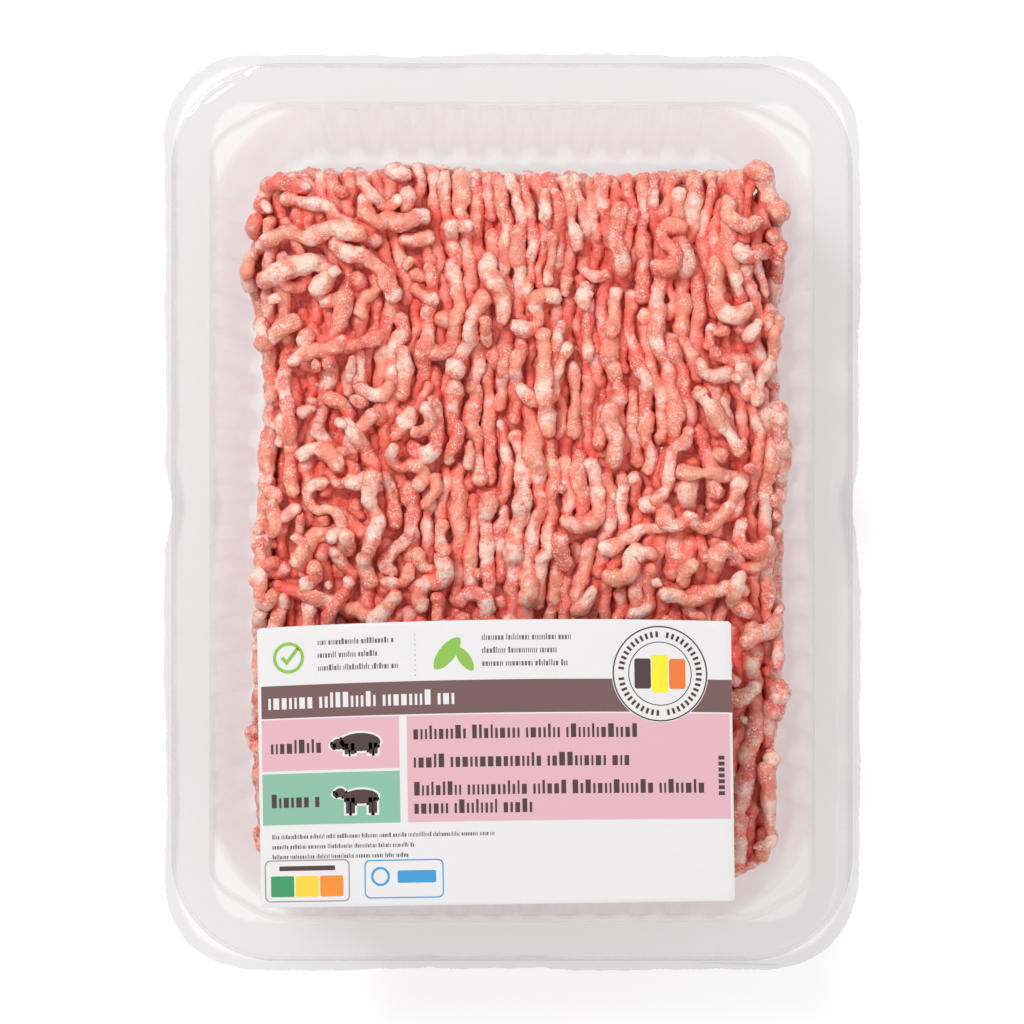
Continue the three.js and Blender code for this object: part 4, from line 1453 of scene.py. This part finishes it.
class Print:
    """Collects flat printed shapes of one colour and makes one closed mesh of them."""

    def __init__(self, place):
        self.place = place
        self.points = []
        self.faces = []

    def polygon(self, corners, level):
        """A filled shape given anticlockwise by its corners, on a print level of 1 and up."""
        corners = np.asarray(corners, float)
        low = PAPER_THICKNESS + (level - 1) * INK_THICKNESS
        first = len(self.points)
        n = len(corners)
        for z in (low, low + INK_THICKNESS):
            self.points.extend(self.place.at(corners[:, 0], corners[:, 1], z).tolist())
        self.faces.append(list(range(first + n - 1, first - 1, -1)))
        self.faces.append(list(range(first + n, first + 2 * n)))
        for i in range(n):
            j = (i + 1) % n
            self.faces.append((first + i, first + j, first + n + j, first + n + i))

    def box(self, u0, v0, u1, v1, level, radius=0.0):
        """A field with square or rounded corners; a long side gets points, so that it follows the bow."""
        radius = max(radius, 0.02)
        half = np.array((u1 - u0, v1 - v0)) / 2
        steps = (max(2, int(half[1] / 3)), max(2, int(half[0] / 2)))
        places, _, _, _ = outline(half, min(radius, half.min() * 0.98), steps, 5)
        self.polygon(places + ((u0 + u1) / 2, (v0 + v1) / 2), level)

    def disc(self, u, v, radius, level, squash=1.0, sides=40):
        """A filled circle or ellipse."""
        angles = np.arange(sides) * TAU / sides
        across = u + radius * np.cos(angles)
        up = v + radius * squash * np.sin(angles)
        self.polygon(np.column_stack((across, up)), level)

    def ring(self, u, v, outer, inner, level, start=0.0, end=TAU, steps=48):
        """A ring or a part of one, made of short pieces that meet."""
        angles = np.linspace(start, end, steps + 1)
        rim = np.column_stack((np.cos(angles), np.sin(angles)))
        shape = np.vstack((rim * outer, rim[::-1] * inner)) + (u, v)
        if end - start < TAU - 1e-6:
            self.polygon(shape, level)
            return
        for i in range(steps):
            piece = np.array((rim[i] * outer, rim[i + 1] * outer, rim[i + 1] * inner, rim[i] * inner))
            self.polygon(piece + (u, v), level)

    def finish(self, name, material):
        """The object of all that was collected."""
        obj = new_object(name, self.points, self.faces)
        obj.data.polygons.foreach_set("use_smooth", [False] * len(obj.data.polygons))
        finished(obj, material, "label")


# The corners of the tick, from the label's upper left corner
TICK_SHAPE = ((4.9, -6.7), (6.2, -8.2), (8.9, -4.9), (8.3, -4.4), (6.2, -7.0), (5.5, -6.2))


def build_print(place, sizes):
    """The label's colour fields, signs and lines of grey bars in place of words."""
    brown, pink, green, leaf, ink, white = [Print(place) for _ in range(6)]
    w, h = place.width, place.height

    brown.box(0.7, h - 19.3, w - 0.02, h - 12.4, 1)
    pink.box(0.7, h - 30.4, 29.8, h - 19.6, 1)
    pink.box(31.4, h - 41.8, w - 0.6, h - 19.6, 1)
    green.box(0.7, h - 41.8, 29.8, h - 31.0, 1)

    badge(place, white, ink, sizes, (85.2, h - 11.3), 10.2)
    brown.finish("print_brown", paper_material("brown_ink", sizes.brown))
    pink.finish("print_pink", paper_material("pink_ink", sizes.pink))
    green.finish("print_green", paper_material("green_ink", sizes.green))
    for v in np.arange(h - 11.2, h - 1.8, 1.05):
        leaf.disc(33.4, v, 0.16, 1, sides=8)
    leaf.ring(6.6, h - 6.6, 3.3, 2.6, 1)
    leaf.polygon(np.array(TICK_SHAPE) + (0, h), 1)
    leaf_shape(leaf, 40.2, h - 6.8, 4.2, math.radians(50))
    leaf_shape(leaf, 43.9, h - 8.0, 3.0, math.radians(125), 2)
    leaf.finish("print_signs", paper_material("leaf_ink", sizes.leaf))

    outlined_boxes(place, ink, white)
    for v in np.arange(h - 36.8, h - 28.6, 1.25):
        ink.box(97.3, v, 98.6, v + 0.85, 2)
    pig_sign(white, ink, (21.5, h - 25.2))
    cow_sign(white, ink, (21.5, h - 36.6))
    ink.finish("print_dark", paper_material("dark_ink", sizes.ink))
    white.finish("print_white", paper_material("white_ink", sizes.paper))
    text_blocks(place, sizes)


# The outlined boxes' names, line colours and edges, and the colours of the fields in the first one
OUTLINED_BOXES = (
    ("grey", (150, 150, 148), (0.9, 1.1, 18.9, 10.0)),
    ("blue", (60, 150, 205), (22.0, 1.6, 38.8, 9.7)),
)
STRIP_COLOURS = ((60, 150, 95), (245, 205, 60), (235, 140, 50))


def outlined_boxes(place, ink, white):
    """Two boxes with thin outlines: one with a strip of plain colour fields, one with a ring and a bar."""
    for name, value, (u0, v0, u1, v1) in OUTLINED_BOXES:
        line = Print(place)
        line.box(u0, v0, u1, v1, 1, 1.2)
        white.box(u0 + 0.28, v0 + 0.28, u1 - 0.28, v1 - 0.28, 2, 1.0)
        if name == "blue":
            line.ring(u0 + 3.4, v0 + 4.6, 2.0, 1.5, 3)
            line.box(u0 + 7.0, v0 + 3.2, u1 - 1.6, v0 + 5.8, 3, 0.4)
        line.finish(f"print_box_{name}", paper_material(f"box_ink_{name}", [linear(v) for v in value]))
    for index, value in enumerate(STRIP_COLOURS):
        field = Print(place)
        left = 2.2 + 5.2 * index
        field.box(left, 2.2, left + 4.9, 6.6, 3, 0.3)
        field.finish(f"print_field_{index}", paper_material(f"field_ink_{index}", [linear(v) for v in value]))
    ink.box(4.0, 7.7, 15.8, 8.7, 3)


def leaf_shape(target, u, v, size, heading, level=1):
    """A pointed leaf."""
    t = np.linspace(0, math.pi, 12)
    one = np.column_stack((np.cos(t) * size, 0.42 * size * np.sin(t) ** 1.2))
    other = np.column_stack((np.cos(t[::-1]) * size, -0.42 * size * np.sin(t[::-1]) ** 1.2))[1:-1]
    outline_points = np.vstack((one, other))
    cos, sin = math.cos(heading), math.sin(heading)
    turned = outline_points @ np.array(((cos, sin), (-sin, cos)))
    target.polygon(turned + (u, v), level)


# The badge's two bright bands, as red, green and blue of 0 to 255
YELLOW_BAND = (250, 226, 48)
ORANGE_BAND = (231, 121, 52)


def badge(place, white, ink, sizes, centre, radius):
    """A round badge with a ring of ticks and three bands of colour."""
    u, v = centre
    white.disc(u, v, radius, 2, sides=64)
    ink.ring(u, v, radius * 0.985, radius * 0.955, 3)
    ink.ring(u, v, radius * 0.66, radius * 0.64, 3)
    ticks = 46
    for i in range(ticks):
        if i % 12 == 11:
            continue
        angle = i * TAU / ticks
        out = np.array((math.cos(angle), math.sin(angle)))
        side = np.array((-out[1], out[0])) * 0.28
        inner, outer = out * radius * 0.75, out * radius * 0.87
        ink.polygon(np.array((inner - side, outer - side, outer + side, inner + side)) + (u, v), 3)
    yellow, orange = [[linear(v) for v in band] for band in (YELLOW_BAND, ORANGE_BAND)]
    bands = ((sizes.ink, -0.36, 0.62), (yellow, 0.0, 0.78), (orange, 0.36, 0.62))
    for index, (value, shift, tall) in enumerate(bands):
        band = Print(place)
        tall *= radius
        band.box(u + (shift - 0.17) * radius, v - tall / 2, u + (shift + 0.17) * radius, v + tall / 2, 3, 0.5)
        band.finish(f"print_band_{index}", paper_material(f"band_ink_{index}", value))


def pig_sign(white, ink, centre):
    """A stout animal with short legs, dark on a white edge."""
    animal_sign(
        white, ink, centre, body=(4.3, 1.9), head=(-4.6, 0.1, 1.35), leg=1.7, legs=(-2.9, -1.6, 2.2, 3.3)
    )


def cow_sign(white, ink, centre):
    """A taller animal with long legs, dark on a white edge."""
    animal_sign(
        white, ink, centre, body=(3.7, 1.5), head=(-4.4, 1.3, 1.15), leg=2.7, legs=(-2.8, -1.7, 2.0, 3.0)
    )


def animal_sign(white, ink, centre, body, head, leg, legs):
    """An animal of ellipses and legs; the white edge is the same shape a little larger, under it."""
    u, v = centre
    for target, level, grow_by in ((white, 2, 0.45), (ink, 3, 0.0)):
        target.disc(u, v + 0.4, body[0] + grow_by, level, (body[1] + grow_by) / (body[0] + grow_by), 36)
        target.disc(u + head[0], v + head[1], head[2] + grow_by, level, 0.85, 24)
        target.disc(u + head[0] - head[2] * 0.8, v + head[1] - 0.35, head[2] * 0.5 + grow_by, level, 0.8, 18)
        for at in legs:
            thick = 0.4 + grow_by
            target.box(u + at - thick, v - leg - thick, u + at + thick, v + 0.2, level, 0.15)


# Lines of bars that stand for words: left, baseline from the label's top, bar height, right end, colour name
TEXT_LINES = (
    (12.8, 4.2, 1.25, 28.9, "grey"), (12.8, 6.9, 1.25, 25.5, "grey"), (12.8, 9.6, 1.25, 29.6, "grey"),
    (47.6, 4.2, 1.3, 66.6, "grey"), (47.6, 6.9, 1.3, 63.4, "grey"), (47.6, 9.6, 1.3, 65.8, "grey"),
    (2.2, 17.4, 3.2, 42.0, "white"),
    (2.6, 26.8, 2.9, 12.4, "ink"), (2.6, 38.2, 2.9, 12.4, "ink"),
    (32.8, 24.6, 2.9, 79.2, "ink"), (32.8, 30.5, 2.9, 78.4, "ink"),
    (32.8, 36.3, 2.9, 94.6, "ink"), (32.8, 40.1, 2.9, 57.2, "ink"),
    (2.6, 44.8, 0.95, 49.6, "grey"), (2.6, 46.9, 0.95, 32.4, "grey"), (2.6, 49.0, 0.95, 31.0, "grey"),
)


def text_blocks(place, sizes):
    """Rows of small upright blocks in words of uneven length, too plain to be read."""
    draw = np.random.default_rng(sizes.seed)
    groups = {"grey": [], "white": [], "ink": []}
    for left, drop, tall, right, name in TEXT_LINES:
        u = left
        base = place.height - drop
        letters_left = draw.integers(4, 11)
        while u < right:
            wide = tall * (draw.uniform(0.14, 0.2) if draw.uniform() < 0.6 else draw.uniform(0.3, 0.42))
            high = tall * (1.0 if draw.uniform() < 0.2 else 0.74)
            groups[name].append((u + wide / 2, base + high / 2, wide, high))
            u += wide + tall * 0.17
            letters_left -= 1
            if letters_left <= 0:
                u += tall * 0.3
                letters_left = draw.integers(5, 16)
    colours = {"grey": sizes.grey, "white": sizes.paper, "ink": sizes.ink}
    tree = block_tree()
    for name, blocks in groups.items():
        blocks = np.array(blocks)
        level = {"grey": 1, "white": 2, "ink": 2}[name]
        z = PAPER_THICKNESS + (level - 0.5) * INK_THICKNESS
        obj = new_object(f"print_words_{name}", place.at(blocks[:, 0], blocks[:, 1], z), [])
        size = np.column_stack((blocks[:, 2], blocks[:, 3], np.full(len(blocks), INK_THICKNESS))) * MM
        set_vectors(obj, block=size)
        grow(obj, tree, {"Turn": sizes.turn, "Material": paper_material(f"word_ink_{name}", colours[name])})
        finished(obj, None, "label")


# The stage


# The floor's half width, and its height just under the pack
FLOOR_REACH = 3000.0
FLOOR_LEVEL = -0.2


def build_stage(sizes):
    """A pale floor, soft light from the upper left and a camera straight above the pack."""
    signs = ((-1, -1), (1, -1), (1, 1), (-1, 1))
    corners = [(x * FLOOR_REACH, y * FLOOR_REACH, FLOOR_LEVEL) for x, y in signs]
    floor = new_object("floor", corners, [(0, 1, 2, 3)])
    material, w, output = new_material("pale_floor")
    skin = w.node("ShaderNodeBsdfPrincipled", {
        "Base Color": opaque(sizes.floor), "Roughness": 0.9, "Specular IOR Level": 0.1,
        "Emission Color": (1, 1, 1, 1), "Emission Strength": sizes.glow,
    })
    w.tree.links.new(skin.outputs[0], output.inputs["Surface"])
    floor.data.materials.append(material)

    add_area("key_light", (-480, 560, 900), 240, 7.4)
    add_area("fill_light", (600, -420, 900), 700, 1.6)

    world = bpy.data.worlds.new("studio")
    bpy.context.scene.world = world
    world.use_nodes = True
    sky = Wires(world.node_tree)
    sky_height = sky.node("ShaderNodeSeparateXYZ", {
        "Vector": sky.node("ShaderNodeTexCoord").outputs["Generated"],
    }).outputs["Z"]
    strength = sky.node("ShaderNodeMapRange", {
        "Value": sky_height, "From Min": -0.05, "From Max": 0.75, "To Min": 0.4, "To Max": 0.74,
    }).outputs[0]
    background = world.node_tree.nodes["Background"]
    background.inputs["Color"].default_value = (1, 1, 1, 1)
    world.node_tree.links.new(strength, background.inputs["Strength"])
    bpy.context.scene.view_settings.view_transform = "Standard"
    light_paths = bpy.context.scene.cycles
    light_paths.transparent_max_bounces = PLASTIC_SKINS
    light_paths.max_bounces = 6
    light_paths.diffuse_bounces = 2
    light_paths.glossy_bounces = 2
    light_paths.transmission_bounces = 2

    camera_data = bpy.data.cameras.new("camera")
    camera = bpy.data.objects.new("camera", camera_data)
    bpy.context.collection.objects.link(camera)
    camera.location = (0, 0, FLANGE_TOP * MM + sizes.camera_height)
    camera_data.sensor_width = 36
    camera_data.lens = 36 * sizes.camera_height / sizes.frame_width
    camera_data.clip_start = 0.05
    camera_data.clip_end = 20
    bpy.context.scene.camera = camera


def add_area(name, place, size, power):
    """A square soft light that looks at the pack."""
    data = bpy.data.lights.new(name, "AREA")
    data.shape = "SQUARE"
    data.size = size * MM
    data.energy = power
    light = bpy.data.objects.new(name, data)
    bpy.context.collection.objects.link(light)
    light.location = Vector(place) * MM
    light.rotation_euler = (-light.location).to_track_quat("-Z", "Y").to_euler()


# Operators, panel and registration


class MINCE_PACK_OT_tray(bpy.types.Operator):
    """Build the clear fluted tray"""

    bl_idname = "mince_pack.tray"
    bl_label = "Tray"

    def execute(self, context):
        build_tray(context.scene.mince_pack_tray)
        return {"FINISHED"}


class MINCE_PACK_OT_mince(bpy.types.Operator):
    """Lay the minced meat in strands, curls and crumbs"""

    bl_idname = "mince_pack.mince"
    bl_label = "Mince"

    def execute(self, context):
        build_mince(context.scene.mince_pack_mince)
        return {"FINISHED"}


class MINCE_PACK_OT_film(bpy.types.Operator):
    """Stretch the clear film lid over the tray"""

    bl_idname = "mince_pack.film"
    bl_label = "Film lid"

    def execute(self, context):
        build_film(context.scene.mince_pack_film)
        return {"FINISHED"}


class MINCE_PACK_OT_label(bpy.types.Operator):
    """Stick the printed label on the film"""

    bl_idname = "mince_pack.label"
    bl_label = "Label"

    def execute(self, context):
        build_label(context.scene.mince_pack_label)
        return {"FINISHED"}


class MINCE_PACK_OT_stage(bpy.types.Operator):
    """Set up the floor, the lights and the camera"""

    bl_idname = "mince_pack.stage"
    bl_label = "Stage"

    def execute(self, context):
        build_stage(context.scene.mince_pack_stage)
        return {"FINISHED"}


OPERATORS = (
    MINCE_PACK_OT_tray, MINCE_PACK_OT_mince, MINCE_PACK_OT_film, MINCE_PACK_OT_label, MINCE_PACK_OT_stage,
)


class MINCE_PACK_PT_panel(bpy.types.Panel):
    """Lists the pack's operators"""

    bl_idname = "MINCE_PACK_PT_panel"
    bl_label = "Mince pack"
    bl_space_type = "VIEW_3D"
    bl_region_type = "UI"
    bl_category = "Mince pack"

    def draw(self, context):
        for operator in OPERATORS:
            self.layout.operator(operator.bl_idname)


SETTINGS = {
    "mince_pack_tray": MincePackTray,
    "mince_pack_mince": MincePackMince,
    "mince_pack_film": MincePackFilm,
    "mince_pack_label": MincePackLabel,
    "mince_pack_stage": MincePackStage,
}


def register():
    for cls in (*SETTINGS.values(), *OPERATORS, MINCE_PACK_PT_panel):
        bpy.utils.register_class(cls)
    for name, cls in SETTINGS.items():
        setattr(bpy.types.Scene, name, bpy.props.PointerProperty(type=cls))


def unregister():
    for name in SETTINGS:
        delattr(bpy.types.Scene, name)
    for cls in (MINCE_PACK_PT_panel, *reversed(OPERATORS), *reversed(SETTINGS.values())):
        bpy.utils.unregister_class(cls)


def main():
    """Builds the whole pack."""
    register()
    bpy.ops.mince_pack.stage()
    bpy.ops.mince_pack.tray()
    bpy.ops.mince_pack.mince()
    bpy.ops.mince_pack.film()
    bpy.ops.mince_pack.label()
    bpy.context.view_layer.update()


if __name__ == "__main__":
    main()
